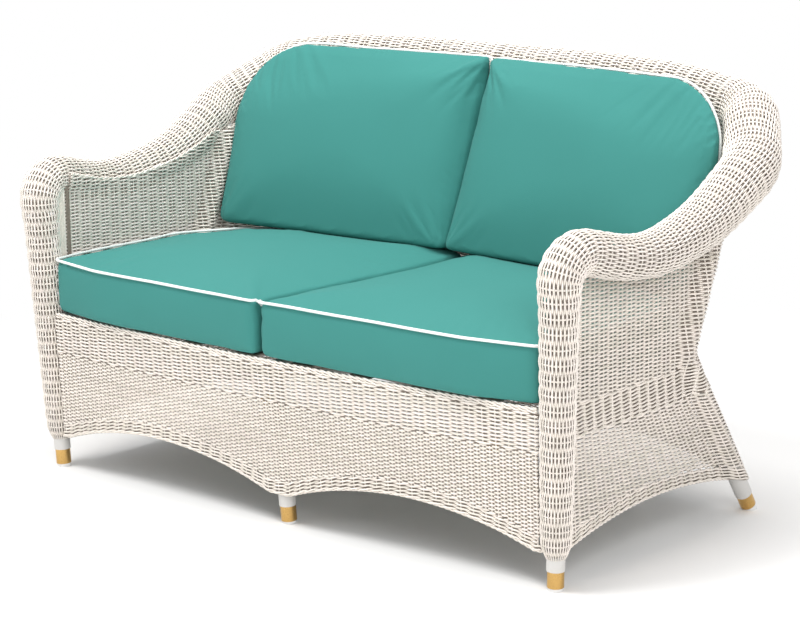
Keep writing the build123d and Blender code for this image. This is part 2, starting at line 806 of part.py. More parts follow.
def save_cushion(body, lining, core, piping, name):
    with BuildPart() as cover:
        add(body)
        add(lining, mode=Mode.SUBTRACT)
        add(piping, mode=Mode.SUBTRACT)
    save_pair(cover.part, name + "_cover")
    save_pair(core, name + "_core")
    save_pair(piping, name + "_piping")


save_cushion(
    seat_body(), seat_body(cover_thickness), seat_body(cover_thickness + core_gap), seat_piping,
    "seat_cushion",
)
save_cushion(
    back_body(), back_body(cover_thickness), back_body(cover_thickness + core_gap), back_piping,
    "back_cushion",
)
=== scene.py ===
import math

import bpy
import numpy as np
from mathutils import Matrix, Vector, noise
from mathutils.kdtree import KDTree


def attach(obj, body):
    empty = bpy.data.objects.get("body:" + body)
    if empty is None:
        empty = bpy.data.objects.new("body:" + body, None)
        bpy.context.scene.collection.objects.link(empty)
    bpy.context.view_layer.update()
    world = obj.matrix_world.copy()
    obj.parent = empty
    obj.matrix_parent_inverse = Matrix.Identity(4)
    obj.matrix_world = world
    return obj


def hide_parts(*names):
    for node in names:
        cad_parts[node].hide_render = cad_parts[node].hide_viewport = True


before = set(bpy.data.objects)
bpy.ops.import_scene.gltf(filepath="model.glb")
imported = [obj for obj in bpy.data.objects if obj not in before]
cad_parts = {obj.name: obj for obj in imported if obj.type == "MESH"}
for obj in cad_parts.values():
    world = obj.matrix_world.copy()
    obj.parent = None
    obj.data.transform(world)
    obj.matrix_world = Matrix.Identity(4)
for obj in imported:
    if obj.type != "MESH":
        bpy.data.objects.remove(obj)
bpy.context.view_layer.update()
scene = bpy.context.scene
dice = np.random.default_rng(7)
mirror = np.array([-1.0, 1.0, 1.0])  # turns a point of the right half into one of the left

# Metres. X runs across the seat, Y from front to back, Z up from the floor.
sofa = {
    "footHalfSpacing": 0.641,
    "footDepth": 0.632,
    "backHeight": 0.864,
    "footLine": (0.0605 - 0.741) / 2,  # Y of the front feet
    "deckHeight": 0.334,
}


def place(across, back, up):
    return np.array([across, sofa["footLine"] + back, up])


def corner(shares):
    across, back, up = shares
    return place(across * sofa["footHalfSpacing"], back * sofa["footDepth"], up * sofa["backHeight"])


def backOf(points):
    return points[:, 1] - sofa["footLine"]


def unit(vectors):
    vectors = np.asarray(vectors, float)
    return vectors / np.maximum(np.linalg.norm(vectors, axis=-1, keepdims=True), 1e-12)


def squareTo(vectors, tangent):
    # what of the vectors stands at a right angle to a line
    return unit(vectors - tangent * (vectors * tangent).sum(axis=1, keepdims=True))


def smooth(low, high, values):
    share = np.clip((np.asarray(values, float) - low) / (high - low), 0, 1)
    return share * share * (3 - 2 * share)


def newPiece(name, mesh):
    piece = bpy.data.objects.new(name, mesh)
    scene.collection.objects.link(piece)
    return piece


def tag(mesh, name, kind, values):
    # point attribute that the node trees and materials read
    layer = mesh.attributes.new(name, kind, "POINT")
    key = "vector" if kind == "FLOAT_VECTOR" else "value"
    layer.data.foreach_set(key, np.asarray(values, np.float32).ravel())


def addNode(tree, kind, inputs=None, **settings):
    # a node with its settings, and its inputs set or linked by name or number
    node = tree.nodes.new(kind)
    for key, value in settings.items():
        setattr(node, key, value)
    for key, value in (inputs or {}).items():
        if isinstance(value, bpy.types.NodeSocket):
            tree.links.new(value, node.inputs[key])
        else:
            node.inputs[key].default_value = value
    return node


def mathNode(tree, operation, *values):
    return addNode(tree, "ShaderNodeMath", dict(enumerate(values)), operation=operation).outputs[0]


def times(tree, first, second):
    return mathNode(tree, "MULTIPLY", first, second)


def plus(tree, first, second):
    return mathNode(tree, "ADD", first, second)


def newGroup(name, inputs, outputs):
    # shader group with number inputs, or a vector where no number is given
    group = bpy.data.node_groups.new(name, "ShaderNodeTree")
    for label, value in inputs.items():
        kind = "NodeSocketVector" if value is None else "NodeSocketFloat"
        socket = group.interface.new_socket(label, in_out="INPUT", socket_type=kind)
        if value is not None:
            socket.default_value = value
    for label in outputs:
        group.interface.new_socket(label, in_out="OUTPUT", socket_type="NodeSocketFloat")
    return group, addNode(group, "NodeGroupInput").outputs


def makeGrainGroup():
    # uneven tone and fine relief of a brushed or sprayed finish
    group, given = newGroup("finishGrain", {"Vector": None, "Grain Scale": 900.0, "Patch Scale": 14.0,
                                            "Tone": 0.12}, ("Shade", "Relief"))
    fine, patch = [
        addNode(group, "ShaderNodeTexNoise",
                {"Detail": detail, "Vector": given["Vector"], "Scale": given[label]}).outputs[0]
        for label, detail in (("Grain Scale", 3.0), ("Patch Scale", 2.0))]
    mixed = plus(group, times(group, fine, 0.35), times(group, patch, 0.65))
    swing = times(group, mathNode(group, "SUBTRACT", mixed, 0.5), given["Tone"])
    addNode(group, "NodeGroupOutput", {"Shade": plus(group, swing, 1.0), "Relief": fine})
    return group


def makeThreadGroup():
    # plain-woven threads in the plane that the surface faces, the same on every side
    group, given = newGroup("wovenThreads", {"Thread Count": 1500.0, "Unevenness": 0.5}, ("Relief", "Shade"))
    coords = addNode(group, "ShaderNodeTexCoord").outputs["Object"]
    normal = addNode(group, "ShaderNodeNewGeometry").outputs["Normal"]
    spot = addNode(group, "ShaderNodeSeparateXYZ", {0: coords}).outputs
    faced = addNode(group, "ShaderNodeSeparateXYZ", {0: normal}).outputs
    drift = addNode(group, "ShaderNodeTexNoise", {"Scale": 60.0, "Vector": coords}).outputs[0]
    wander = times(group, times(group, drift, given["Unevenness"]), 6.0)
    waves = []
    for axis in range(3):
        turned = times(group, times(group, spot[axis], given["Thread Count"]), 2 * math.pi)
        waves.append(mathNode(group, "SINE", plus(group, turned, wander)))
    total = 0.0
    for axis in range(3):
        weave = times(group, waves[axis - 1], waves[axis - 2])
        weight = mathNode(group, "POWER", mathNode(group, "ABSOLUTE", faced[axis]), 2.0)
        total = plus(group, total, times(group, weave, weight))
    addNode(group, "NodeGroupOutput", {"Relief": total, "Shade": plus(group, times(group, total, 0.04), 1.0)})
    return group


finishGrain = makeGrainGroup()
wovenThreads = makeThreadGroup()


def blended(tree, share, first, second, kind="MIX"):
    first, second = [(*colour, 1) if isinstance(colour, tuple) else colour for colour in (first, second)]
    return addNode(tree, "ShaderNodeMix", {0: share, 6: first, 7: second},
                   data_type="RGBA", blend_type=kind).outputs[2]


def tinted(tree, colour, *shades):
    # a colour multiplied by each shade in turn
    value = shades[0]
    for shade in shades[1:]:
        value = times(tree, value, shade)
    grey = addNode(tree, "ShaderNodeCombineColor", {0: value, 1: value, 2: value}).outputs[0]
    return blended(tree, 1.0, colour, grey, "MULTIPLY")


def ranged(tree, value, low, high, atLow, atHigh):
    return addNode(tree, "ShaderNodeMapRange", {"Value": value, "From Min": low, "From Max": high,
                                                "To Min": atLow, "To Max": atHigh},
                   interpolation_type="SMOOTHSTEP").outputs[0]


def finished(look, colouring):
    # a material whose colouring gives its colour and relief, with the look's grain for its roughness
    material = bpy.data.materials.new(look["name"])
    material.use_nodes = True
    tree = material.node_tree
    sockets = tree.nodes["Principled BSDF"].inputs
    for socket, value in look.get("fixed", {}).items():
        sockets[socket].default_value = value
    coords = addNode(tree, "ShaderNodeTexCoord").outputs["Object"]
    grainScale, patchScale, tone = look["grain"]
    grain = addNode(tree, "ShaderNodeGroup", {"Vector": coords, "Grain Scale": grainScale,
                                              "Patch Scale": patchScale, "Tone": tone},
                    node_tree=finishGrain).outputs
    colour, height = colouring(tree, look, grain)
    tree.links.new(colour, sockets["Base Color"])
    roughness = look["roughness"]
    if isinstance(roughness, tuple):
        tree.links.new(ranged(tree, grain["Relief"], 0.3, 0.7, *roughness), sockets["Roughness"])
    else:
        sockets["Roughness"].default_value = roughness
    strength, distance = look["relief"]
    bump = addNode(tree, "ShaderNodeBump", {"Strength": strength, "Distance": distance, "Height": height})
    tree.links.new(bump.outputs[0], sockets["Normal"])
    return material


wickerLook = {
    "name": "paintedWicker", "grain": (1400.0, 9.0, 0.18), "roughness": (0.42, 0.6), "relief": (0.35, 0.0004),
    "fixed": {"Specular IOR Level": 0.35},
    "cream": (0.89, 0.82, 0.75), "rosy": (0.86, 0.785, 0.73), "bone": (0.79, 0.735, 0.655),
    # painted shade: the dark colour a strand takes where it dips behind a stake, standing in for the shadow
    # there
    "recess": (0.22, 0.175, 0.14),
    "recessDepths": (-0.72, -0.12),  # how far behind the stakes a strand takes the painted shade, and takes none
    "recessShare": 0.92,
}


def wickerColour(tree, look, grain):
    # painted strands: each its own cream, with painted shade making it greyer and darker where it dips behind
    # a stake
    def strandValue(name, output="Fac"):
        return addNode(tree, "ShaderNodeAttribute", attribute_name=name).outputs[output]

    tint, run = strandValue("tint"), strandValue("run")
    colour = blended(tree, ranged(tree, tint, 0.0, 0.6, 0.0, 1.0), look["bone"], look["cream"])
    colour = blended(tree, ranged(tree, tint, 0.75, 1.0, 0.0, 0.8), colour, look["rosy"])
    along = addNode(tree, "ShaderNodeCombineXYZ", {0: times(tree, run, 55.0), 1: times(tree, tint, 90.0)})
    streak = addNode(tree, "ShaderNodeTexNoise", {"Scale": 1.0, "Vector": along.outputs[0]}).outputs[0]
    normal = addNode(tree, "ShaderNodeNewGeometry").outputs["Normal"]
    toward = addNode(tree, "ShaderNodeVectorMath", {0: normal, 1: strandValue("side", "Vector")},
                     operation="DOT_PRODUCT").outputs["Value"]
    seenFrom = ranged(tree, toward, -0.2, 0.1, -1.0, 1.0)  # either face of a panel
    # painted shade: strands blend toward the dark colour where they lie deep in the weave, on whichever face
    # is seen
    depth = times(tree, strandValue("depth"), seenFrom)
    paintedShadeMask = ranged(tree, depth, *look["recessDepths"], look["recessShare"], 0.0)
    colour = blended(tree, paintedShadeMask, colour, look["recess"])
    return tinted(tree, colour, grain["Shade"], ranged(tree, streak, 0.25, 0.75, 0.93, 1.05)), grain["Relief"]


clothLooks = {
    "fabric": {"name": "canvasTeal", "colour": (0.050, 0.232, 0.208), "grain": (700.0, 5.0, 0.10),
               "threads": 900.0, "roughness": (0.76, 0.9), "relief": (0.25, 0.0002),
               "fixed": {"Sheen Weight": 0.03, "Specular IOR Level": 0.15}},
    "piping": {"name": "canvasWhite", "colour": (0.84, 0.86, 0.84), "grain": (800.0, 20.0, 0.08),
               "threads": 1100.0, "roughness": 0.75, "relief": (0.3, 0.0002), "fixed": {"Sheen Weight": 0.1}},
    "webbing": {"name": "webbing", "colour": (0.42, 0.37, 0.30), "grain": (500.0, 12.0, 0.2),
                "threads": 450.0, "roughness": 0.8, "relief": (0.5, 0.0005)},
}
plainLooks = {
    "paint": {"name": "paintedTube", "colour": (0.62, 0.605, 0.58), "grain": (500.0, 18.0, 0.14),
              "roughness": (0.34, 0.50), "relief": (0.25, 0.0003)},
    "former": {"name": "moulding", "colour": (0.33, 0.29, 0.25), "grain": (300.0, 10.0, 0.3),
               "roughness": (0.52, 0.68), "relief": (0.3, 0.0003)},
    "brass": {"name": "brass", "colour": (0.60, 0.375, 0.13), "grain": (900.0, 30.0, 0.25),
              "roughness": (0.22, 0.38), "relief": (0.15, 0.0003), "fixed": {"Metallic": 1.0}},
    "glide": {"name": "glide", "colour": (0.80, 0.80, 0.79), "grain": (600.0, 25.0, 0.08),
              "roughness": (0.37, 0.53), "relief": (0.1, 0.0003)},
    "foam": {"name": "foam", "colour": (0.80, 0.74, 0.55), "grain": (700.0, 30.0, 0.2),
             "roughness": (0.82, 0.98), "relief": (0.6, 0.0003)},
}


def clothColour(tree, look, grain):
    threads = addNode(tree, "ShaderNodeGroup", {"Thread Count": look["threads"]}, node_tree=wovenThreads)
    shade, relief = threads.outputs["Shade"], threads.outputs["Relief"]
    return tinted(tree, look["colour"], shade, grain["Shade"]), relief


def plainColour(tree, look, grain):
    return tinted(tree, look["colour"], grain["Shade"]), grain["Relief"]


finishes = {"wicker": finished(wickerLook, wickerColour)}
finishes.update({kind: finished(look, clothColour) for kind, look in clothLooks.items()})
finishes.update({kind: finished(look, plainColour) for kind, look in plainLooks.items()})
print("materials ready:", len(finishes))

nodeFinish = [
    ("glide", "glide"), ("ferrule", "brass"), ("strap", "webbing"), ("former", "former"),
    ("cover", "fabric"), ("piping", "piping"), ("core", "foam"), ("weave", "wicker"),
    ("roll", "wicker"), ("braid", "wicker"),
]
for nodeName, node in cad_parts.items():
    finish = next((kind for word, kind in nodeFinish if word in nodeName), "paint")
    node.data.materials.clear()
    node.data.materials.append(finishes[finish])


# Strands: one node tree weaves every wicker piece
weaving = {
    "swing": 0.00185,  # how far a strand moves out over a stake and back in behind the next
    "sides": 4,
    "fuller": 0.16,  # how much wider a strand shows over a stake
    "pitch": 0.0036,  # from one strand to the next
    "stakePitch": 0.028,
    "stakeStep": 0.009,
    "stakeRadius": 0.0019,
    "stakeRest": -0.1,  # depth at which stakes, and the rows below, count as lying for the painted shade
    "rowRadius": 0.00186,
    "rowRest": {"plain": -0.06, "fine": -0.28, "twined": 0.1},
    "twinedPitch": 0.0070,  # from one pair of twined strands to the next
    "twinedRadius": 0.0018,
    "twinedLift": 0.85,
    "twinedShift": 0.056,  # of a stake, from one pair to the next
    "twinedUnder": 0.0012,  # how far in the line under a pair lies, a strand painted dark as the shadow there
    "stepsPerStake": 4,
    "fineDensity": 1.5,
    "wobble": 0.00010,
}


def makeWeaveTree():
    tree = bpy.data.node_groups.new("weaveStrands", "GeometryNodeTree")
    face = tree.interface
    for label, kind, value in (("Geometry", "NodeSocketGeometry", None), ("Swing", "NodeSocketFloat", 0.002),
                               ("Sides", "NodeSocketInt", 4), ("Finish", "NodeSocketMaterial", None)):
        socket = face.new_socket(label, in_out="INPUT", socket_type=kind)
        if value is not None:
            socket.default_value = value
    face.new_socket("Geometry", in_out="OUTPUT", socket_type="NodeSocketGeometry")
    given = addNode(tree, "NodeGroupInput").outputs

    def named(name, kind="FLOAT"):
        return addNode(tree, "GeometryNodeInputNamedAttribute", {0: name}, data_type=kind).outputs[0]

    def scaled(name, factor):
        return addNode(tree, "ShaderNodeVectorMath", {0: named(name, "FLOAT_VECTOR"), "Scale": factor},
                       operation="SCALE").outputs[0]

    def shaped(kind, inputs, **settings):
        return addNode(tree, "GeometryNode" + kind, inputs, **settings).outputs[0]

    turn = times(tree, named("phase"), 2 * math.pi)
    over = times(tree, mathNode(tree, "COSINE", turn), named("reach"))
    sway = times(tree, mathNode(tree, "SINE", turn), given["Swing"])
    outward = scaled("side", times(tree, over, given["Swing"]))
    offset = addNode(tree, "ShaderNodeVectorMath", {0: outward, 1: scaled("lift", sway)}, operation="ADD")
    # depth, with each strand's rest added, is what the wicker's painted shade reads
    lines = shaped("StoreNamedAttribute", {"Geometry": given["Geometry"], "Name": "depth",
                                           "Value": plus(tree, over, named("rest"))},
                   data_type="FLOAT", domain="POINT")
    lines = shaped("SetPosition", {"Geometry": lines, "Offset": offset.outputs[0]})
    lines = shaped("MeshToCurve", {"Mesh": lines})
    ring = shaped("CurvePrimitiveCircle", {"Radius": 1.0, "Resolution": given["Sides"]})
    fuller = plus(tree, times(tree, over, weaving["fuller"]), 1.0)
    tubes = shaped("CurveToMesh", {"Curve": lines, "Profile Curve": ring, "Fill Caps": True,
                                   "Scale": times(tree, named("thick"), fuller)})
    tubes = shaped("SetShadeSmooth", {"Geometry": tubes})
    tubes = shaped("RealizeInstances", {"Geometry": tubes})
    tubes = shaped("SetMaterial", {"Geometry": tubes, "Material": given["Finish"]})
    addNode(tree, "NodeGroupOutput", {0: tubes})
    return tree


weaveTree = makeWeaveTree()


def strand(points, side, phase, thick, reach=1.0, lift=0.0, closed=False, rest=0.0):
    # one strand's middle line with what the tree needs at each point
    points = np.asarray(points, float)
    count = len(points)
    steps = np.linalg.norm(np.diff(points, axis=0), axis=1)
    return {
        "points": points,
        "side": np.broadcast_to(side, (count, 3)),
        "lift": np.broadcast_to(lift, (count, 3)),
        "phase": np.broadcast_to(phase, count),
        "thick": np.broadcast_to(thick, count),
        "reach": np.broadcast_to(reach, count),
        "rest": np.broadcast_to(rest, count),
        "tint": np.full(count, dice.random()),
        "run": np.concatenate([[0], np.cumsum(steps)]) + dice.random() * 3,
        "closed": closed,
    }


def woven(name, strands, *replaced):
    # all strands of a piece through the tree, turned into a plain mesh
    mesh = bpy.data.meshes.new(name)
    points = np.concatenate([item["points"] for item in strands])
    edges = []
    first = 0
    for item in strands:
        count = len(item["points"])
        edges += [(first + step, first + step + 1) for step in range(count - 1)]
        if item["closed"]:
            edges.append((first + count - 1, first))
        first += count
    mesh.from_pydata(points.tolist(), edges, [])
    for key in ("side", "lift", "phase", "thick", "reach", "rest", "tint", "run"):
        kind = "FLOAT_VECTOR" if key in ("side", "lift") else "FLOAT"
        tag(mesh, key, kind, np.concatenate([item[key] for item in strands]))
    draft = newPiece(name + "Lines", mesh)
    modifier = draft.modifiers.new("weave", "NODES")
    modifier.node_group = weaveTree
    values = {"Swing": weaving["swing"], "Sides": weaving["sides"], "Finish": finishes["wicker"]}
    for item in weaveTree.interface.items_tree:
        if item.in_out == "INPUT" and item.name in values:
            modifier[item.identifier] = values[item.name]
    evaluated = draft.evaluated_get(bpy.context.evaluated_depsgraph_get())
    result = bpy.data.meshes.new_from_object(evaluated)
    for unused in ("lift", "phase", "thick", "reach", "rest"):
        if unused in result.attributes:
            result.attributes.remove(result.attributes[unused])
    bpy.data.objects.remove(draft)
    bpy.data.meshes.remove(mesh)
    piece = newPiece(name, result)
    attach(piece, "frame")
    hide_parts(*replaced)
    print(name, "strands", len(strands), "faces", len(result.polygons))


def runsOf(mask):
    # first and last + 1 of each unbroken stretch
    padded = np.concatenate([[False], mask, [False]]).astype(int)
    change = np.diff(padded)
    return list(zip(np.flatnonzero(change == 1), np.flatnonzero(change == -1)))


def mirroredStrands(strands):
    return [{**item, **{key: item[key] * mirror for key in ("points", "side", "lift")},
             "tint": np.full(len(item["points"]), dice.random())} for item in strands]


# The rolled rim: from a front foot up the post, over the arm and round the back
rim = {
    "cornerShares": [(1.036, -0.035, 0.720), (1.075, 0.301, 0.659), (1.066, 0.609, 0.699),
                     (1.076, 0.854, 0.801), (0.945, 1.047, 0.900), (0.710, 1.057, 0.933),
                     (0.387, 1.092, 0.941)],
    "cornerBend": 0.050,
    "bendShare": 0.45,
    "legStart": 0.0375,  # glide and ferrule under the tube
    "weaveStartShare": 0.045,
    "radius": 0.051,
    "radiusShares": [0.80, 0.80, 0.95, 1.08, 1.05, 1.04, 1.0],
    "postRadiusShares": [(0.0, 0.42), (0.03, 0.58), (0.09, 0.64), (0.5, 0.70), (1.0, 0.78)],
    "inset": 0.0027,  # middle of the weave under the roll's surface
    "postInset": 0.0034,  # and further in on the posts
    "strandPitch": 0.00375,
    "postStrands": 60,
    "ringPitch": 0.0277,
    "ringPoints": 44,
    "ringGap": 0.02,  # of a ring's pitch, kept free at both ends
    "swell": 0.7,  # how much closer the rings stand in a bend
    "wobble": 0.00012,
    "step": 0.003,
}


def bendRadii(points, share):
    radii = []
    for before, middle, after in zip(points, points[1:], points[2:]):
        runIn, runOut = middle - before, after - middle
        half = math.acos(np.clip(unit(runIn) @ unit(runOut), -1, 1)) / 2
        shorter = min(np.linalg.norm(runIn), np.linalg.norm(runOut))
        radii.append(share * shorter / math.tan(half))
    return radii


def roundedLine(points, radii, step, closed=False):
    # points close together along a polyline with rounded corners
    if closed:
        trios = zip(points[-1:] + points[:-1], points, points[1:] + points[:1])
    else:
        trios = zip(points, points[1:], points[2:])
    line = [] if closed else [points[0]]
    for (before, middle, after), radius in zip(trios, radii):
        inward, outward = unit(middle - before), unit(after - middle)
        turn = math.acos(np.clip(inward @ outward, -1, 1))
        reach = radius * math.tan(turn / 2)
        start = middle - inward * reach
        centre = middle + unit(outward - inward) * radius / math.cos(turn / 2)
        count = max(3, math.ceil(radius * turn / step))
        arm = unit(start - centre)
        for index in range(count + 1):
            angle = turn * index / count
            line.append(centre + radius * (arm * math.cos(angle) + inward * math.sin(angle)))
    line.append(line[0] if closed else points[-1])
    dense = [line[0]]
    for before, after in zip(line, line[1:]):
        count = max(1, math.ceil(np.linalg.norm(after - before) / step))
        dense += [before + (after - before) * (index + 1) / count for index in range(count)]
    return np.array(dense)


def lengthsAlong(points):
    return np.concatenate([[0], np.cumsum(np.linalg.norm(np.diff(points, axis=0), axis=1))])


def sampled(positions, table, places):
    # values of a table at other places along the same line
    if table.ndim == 1:
        return np.interp(places, positions, table)
    return np.stack([np.interp(places, positions, column) for column in table.T], axis=1)


def traceRim():
    frontFoot = place(sofa["footHalfSpacing"], 0, 0)
    corners = [corner(shares) for shares in rim["cornerShares"]]
    heading = unit(corners[0] - frontFoot)
    armHeading = unit(corners[1] - corners[0])
    turn = math.acos(heading @ armHeading)
    postTop = corners[0] - heading * (rim["cornerBend"] * math.tan(turn / 2) + 0.004)
    legStart = frontFoot + heading * rim["legStart"]
    start = legStart + (postTop - legStart) * rim["weaveStartShare"]
    shoulder = (corners[3] + corners[4]) / 2
    radii = [rim["cornerBend"]] + bendRadii([postTop] + corners[:4] + [shoulder], rim["bendShare"])[1:]
    radii += bendRadii([shoulder] + corners[4:] + [corners[-1] * mirror], rim["bendShare"])
    points = roundedLine([start] + corners + [corners[-1] * mirror], radii, rim["step"])
    points = points[points[:, 0] > 0.001]
    last = points[-1].copy()
    last[0] = 0
    points = np.vstack([points, last])
    along = lengthsAlong(points)
    tree = KDTree(len(points))
    for index, point in enumerate(points):
        tree.insert(point, index)
    tree.balance()
    marks = [along[tree.find(point)[1]] for point in corners + [postTop, shoulder]]
    postEnd, shoulderAt = marks[-2:]
    places = [share * postEnd for share, _ in rim["postRadiusShares"]] + marks[:-2]
    values = [share for _, share in rim["postRadiusShares"]] + rim["radiusShares"]
    radius = np.interp(along, places, values) * rim["radius"]
    tangent = unit(np.gradient(points, axis=0))
    inward = np.array([-1.0, 0, 0]) + tangent * tangent[:, :1]
    inward[np.linalg.norm(inward, axis=1) < 1e-6] = (0, 0, 1)
    level = np.stack([-tangent[:, 1], tangent[:, 0], np.zeros(len(points))], axis=1)
    share = smooth(postEnd + 0.04, postEnd + 0.16, along)[:, None]
    safe = np.where(share > 0, level / np.maximum(np.linalg.norm(level, axis=1, keepdims=True), 1e-6), 0)
    across = unit(unit(inward) * (1 - share) + safe * share)
    across = squareTo(across, tangent)
    top = np.cross(tangent, across)
    bend = np.linalg.norm(np.gradient(tangent, along, axis=0), axis=1)
    bend = np.convolve(np.pad(bend, 6, mode="edge"), np.ones(13) / 13, mode="valid")
    rings = np.zeros(len(points))
    rings[1:] = np.cumsum(np.diff(along) * (1 + rim["swell"] * bend * radius)[1:])
    rings *= round(rings[-1] / rim["ringPitch"]) / rings[-1]
    count = 2 * math.pi * radius / rim["strandPitch"]
    onPost = 1 - smooth(postEnd - 0.06, postEnd + 0.03, along)
    count = count * (1 - onPost) + rim["postStrands"] * onPost
    inset = rim["inset"] + rim["postInset"] * onPost
    return {
        "points": points, "along": along, "inset": inset, "across": across, "top": top,
        "radius": radius, "rings": rings, "count": count, "tree": tree,
        "postEnd": postEnd, "shoulder": shoulderAt,
    }


rimLine = traceRim()


def rollStrands(firstAt, lastAt):
    # lengthwise strands and the hoops under them, between two places along the half rim
    strands = []
    rings, along = rimLine["rings"], rimLine["along"]
    startRing, endRing = np.interp([firstAt, lastAt], along, rings)
    steps = weaving["stepsPerStake"]
    ticks = np.arange(math.ceil(startRing * steps), math.floor(endRing * steps) + 1) / steps
    ticks = np.unique(np.concatenate([[startRing], ticks, [endRing]]))
    places = np.interp(ticks, rings, along)
    table = {key: sampled(along, rimLine[key], places)
             for key in ("points", "across", "top", "radius", "count", "inset")}
    middle = (table["radius"] - table["inset"])[:, None]
    pitch = 2 * math.pi * middle[:, 0] / table["count"]
    widest = int(table["count"].max() / 2) + 1
    for index in range(-widest, widest + 1):
        angle = 2 * math.pi * index / table["count"]
        out = table["top"] * np.cos(angle)[:, None] + table["across"] * np.sin(angle)[:, None]
        for first, last in runsOf(np.abs(index) < table["count"] / 2 - 0.25):
            if last - first < 3:
                continue
            part = slice(first, last)
            wobble = dice.normal(0, rim["wobble"], last - first)[:, None]
            line = table["points"][part] + out[part] * (middle[part] + wobble)
            strands.append(strand(line, out[part], (ticks[part] + index) / 2, 0.5 * pitch[part]))
    circle = np.linspace(0, 2 * math.pi, rim["ringPoints"], endpoint=False)[:, None]
    for ring in range(math.ceil(startRing + rim["ringGap"]), math.floor(endRing - rim["ringGap"]) + 1):
        at = np.interp(ring, rings, along)
        here = {key: sampled(along, rimLine[key], np.array([at]))[0]
                for key in ("points", "across", "top")}
        reach = np.interp(at, along, rimLine["radius"] - rimLine["inset"])
        out = here["top"] * np.cos(circle) + here["across"] * np.sin(circle)
        hoop = here["points"] + out * reach
        strands.append(strand(hoop, out, 0, weaving["stakeRadius"], reach=0.0, closed=True,
                              rest=weaving["stakeRest"]))
    return strands


armStrands = rollStrands(0, rimLine["shoulder"])
backHalf = rollStrands(rimLine["shoulder"], rimLine["along"][-1])
woven("armWeaveRight", armStrands, "post_roll_right", "arm_roll_right")
woven("armWeaveLeft", mirroredStrands(armStrands), "post_roll_left", "arm_roll_left")
woven("backRollWeave", backHalf + mirroredStrands(backHalf), "back_roll")
print("rolled rim woven")


# Woven panels
panels = {
    "legKnee": (0.396, 0.355),  # back and up of the rear leg's middle line at its knee
    "legBend": (0.513, 0.632),
    "sideMiddle": 0.6405,
    "backHalf": 0.6395,  # half the width of what is woven behind
    "arch": {"inner": (0.026, 0.062), "outer": (0.604, 0.068), "middle": (0.315, 0.116)},
    "sideArch": [(0.017, 0.058), (0.316, 0.100), (0.588, 0.066)],
    "border": 0.0315,  # height of the twined border along the arches
    "borderRows": 4,
    "firstRow": 0.75,  # of a row, from the arch to the first of them
    "footHeight": 0.09,  # level at which the border's places are read
    "lowest": 0.06,
    "overlap": 0.003,
    "bandLow": 0.264,
    "bandHigh": 0.327,
    "sink": 0.004,  # how far a row runs into the rolled rim
    "stakeStart": 0.004,  # above an arch
    "skin": 0.005,  # thickness of a woven skin in the CAD
}
edging = {"lift": 0.0028, "step": 0.004, "period": 0.026, "swing": 0.0013, "thick": 0.0017}


def arcThrough(first, middle, last):
    # height of a flat arc through three points, as a function of the place along it
    (x1, y1), (x2, y2), (x3, y3) = first, middle, last
    turn = 2 * (x1 * (y2 - y3) + x2 * (y3 - y1) + x3 * (y1 - y2))
    a, b, c = x1 * x1 + y1 * y1, x2 * x2 + y2 * y2, x3 * x3 + y3 * y3
    centreX = (a * (y2 - y3) + b * (y3 - y1) + c * (y1 - y2)) / turn
    centreY = (a * (x3 - x2) + b * (x1 - x3) + c * (x2 - x1)) / turn
    radius = math.hypot(x1 - centreX, y1 - centreY)

    def height(along):
        along = np.clip(along, x1, x3)
        return centreY + np.sqrt(np.maximum(radius ** 2 - (along - centreX) ** 2, 0))
    return height


skirtArc = arcThrough(*[panels["arch"][part] for part in ("inner", "middle", "outer")])
sideEdge = arcThrough(*panels["sideArch"])


def skirtEdge(points):
    return skirtArc(np.abs(points[:, 0]))


def clearOfRoll(points, sink=panels["sink"]):
    # true where a point of the right or left half lies outside the rolled rim
    free = np.ones(len(points), bool)
    for index, point in enumerate(points):
        spot, nearest, distance = rimLine["tree"].find((abs(point[0]), point[1], point[2]))
        free[index] = distance > rimLine["radius"][nearest] - sink
    return free


def facing(spot, places, heights, outward):
    # unit normals of a surface on its outer side, and its upward direction
    step, rise = 0.02, 0.002
    alongRow = spot(places + step, heights) - spot(places - step, heights)
    upwards = spot(places, heights + rise) - spot(places, heights - rise)
    normal = unit(np.cross(alongRow, upwards))
    turned = np.sign((normal * outward).sum(axis=1, keepdims=True))
    return normal * turned, unit(upwards)


def rowStrand(spot, outward, places, heights, keep, index, kind):
    # one row of a panel, wherever the panel has it
    heights = np.full(len(places), heights)
    points = spot(places, heights)
    mask = keep(points, heights) & clearOfRoll(points)
    normal, upwards = facing(spot, places, heights, outward)
    rest = weaving["rowRest"][kind]
    strands = []
    for first, last in runsOf(mask):
        if last - first < 3:
            continue
        part = slice(first, last)
        line = points[part] + upwards[part] * dice.normal(0, weaving["wobble"], last - first)[:, None]
        if kind == "twined":
            for turn in (0, 0.5):
                phase = (places[part] - weaving["twinedShift"] * index) / 2 + turn
                strands.append(strand(line, normal[part], phase, weaving["twinedRadius"],
                                      lift=upwards[part] * weaving["twinedLift"], rest=rest))
            # a thin strand under each pair, painted fully dark (rest -1) as the shadow beneath it
            under = points[part] - upwards[part] * weaving["twinedPitch"] / 2
            under = under - normal[part] * weaving["twinedUnder"]
            strands.append(strand(under, normal[part], 0, weaving["stakeRadius"], reach=0.0, rest=-1.0))
        else:
            turns = places[part] * (2 if kind == "fine" else 1)
            strands.append(strand(line, normal[part], (turns + index) / 2, weaving["rowRadius"], rest=rest))
    return strands


def stakeStrands(spot, outward, places, low, high, keep):
    strands = []
    for stake in places:
        heights = np.arange(low, high, weaving["stakeStep"])
        at = np.full(len(heights), float(stake))
        points = spot(at, heights)
        normal, _ = facing(spot, at, heights, outward)
        for first, last in runsOf(keep(points, heights) & clearOfRoll(points)):
            if last - first > 1:
                part = slice(first, last)
                strands.append(strand(points[part], normal[part], 0, weaving["stakeRadius"], reach=0.0,
                                      rest=weaving["stakeRest"]))
    return strands


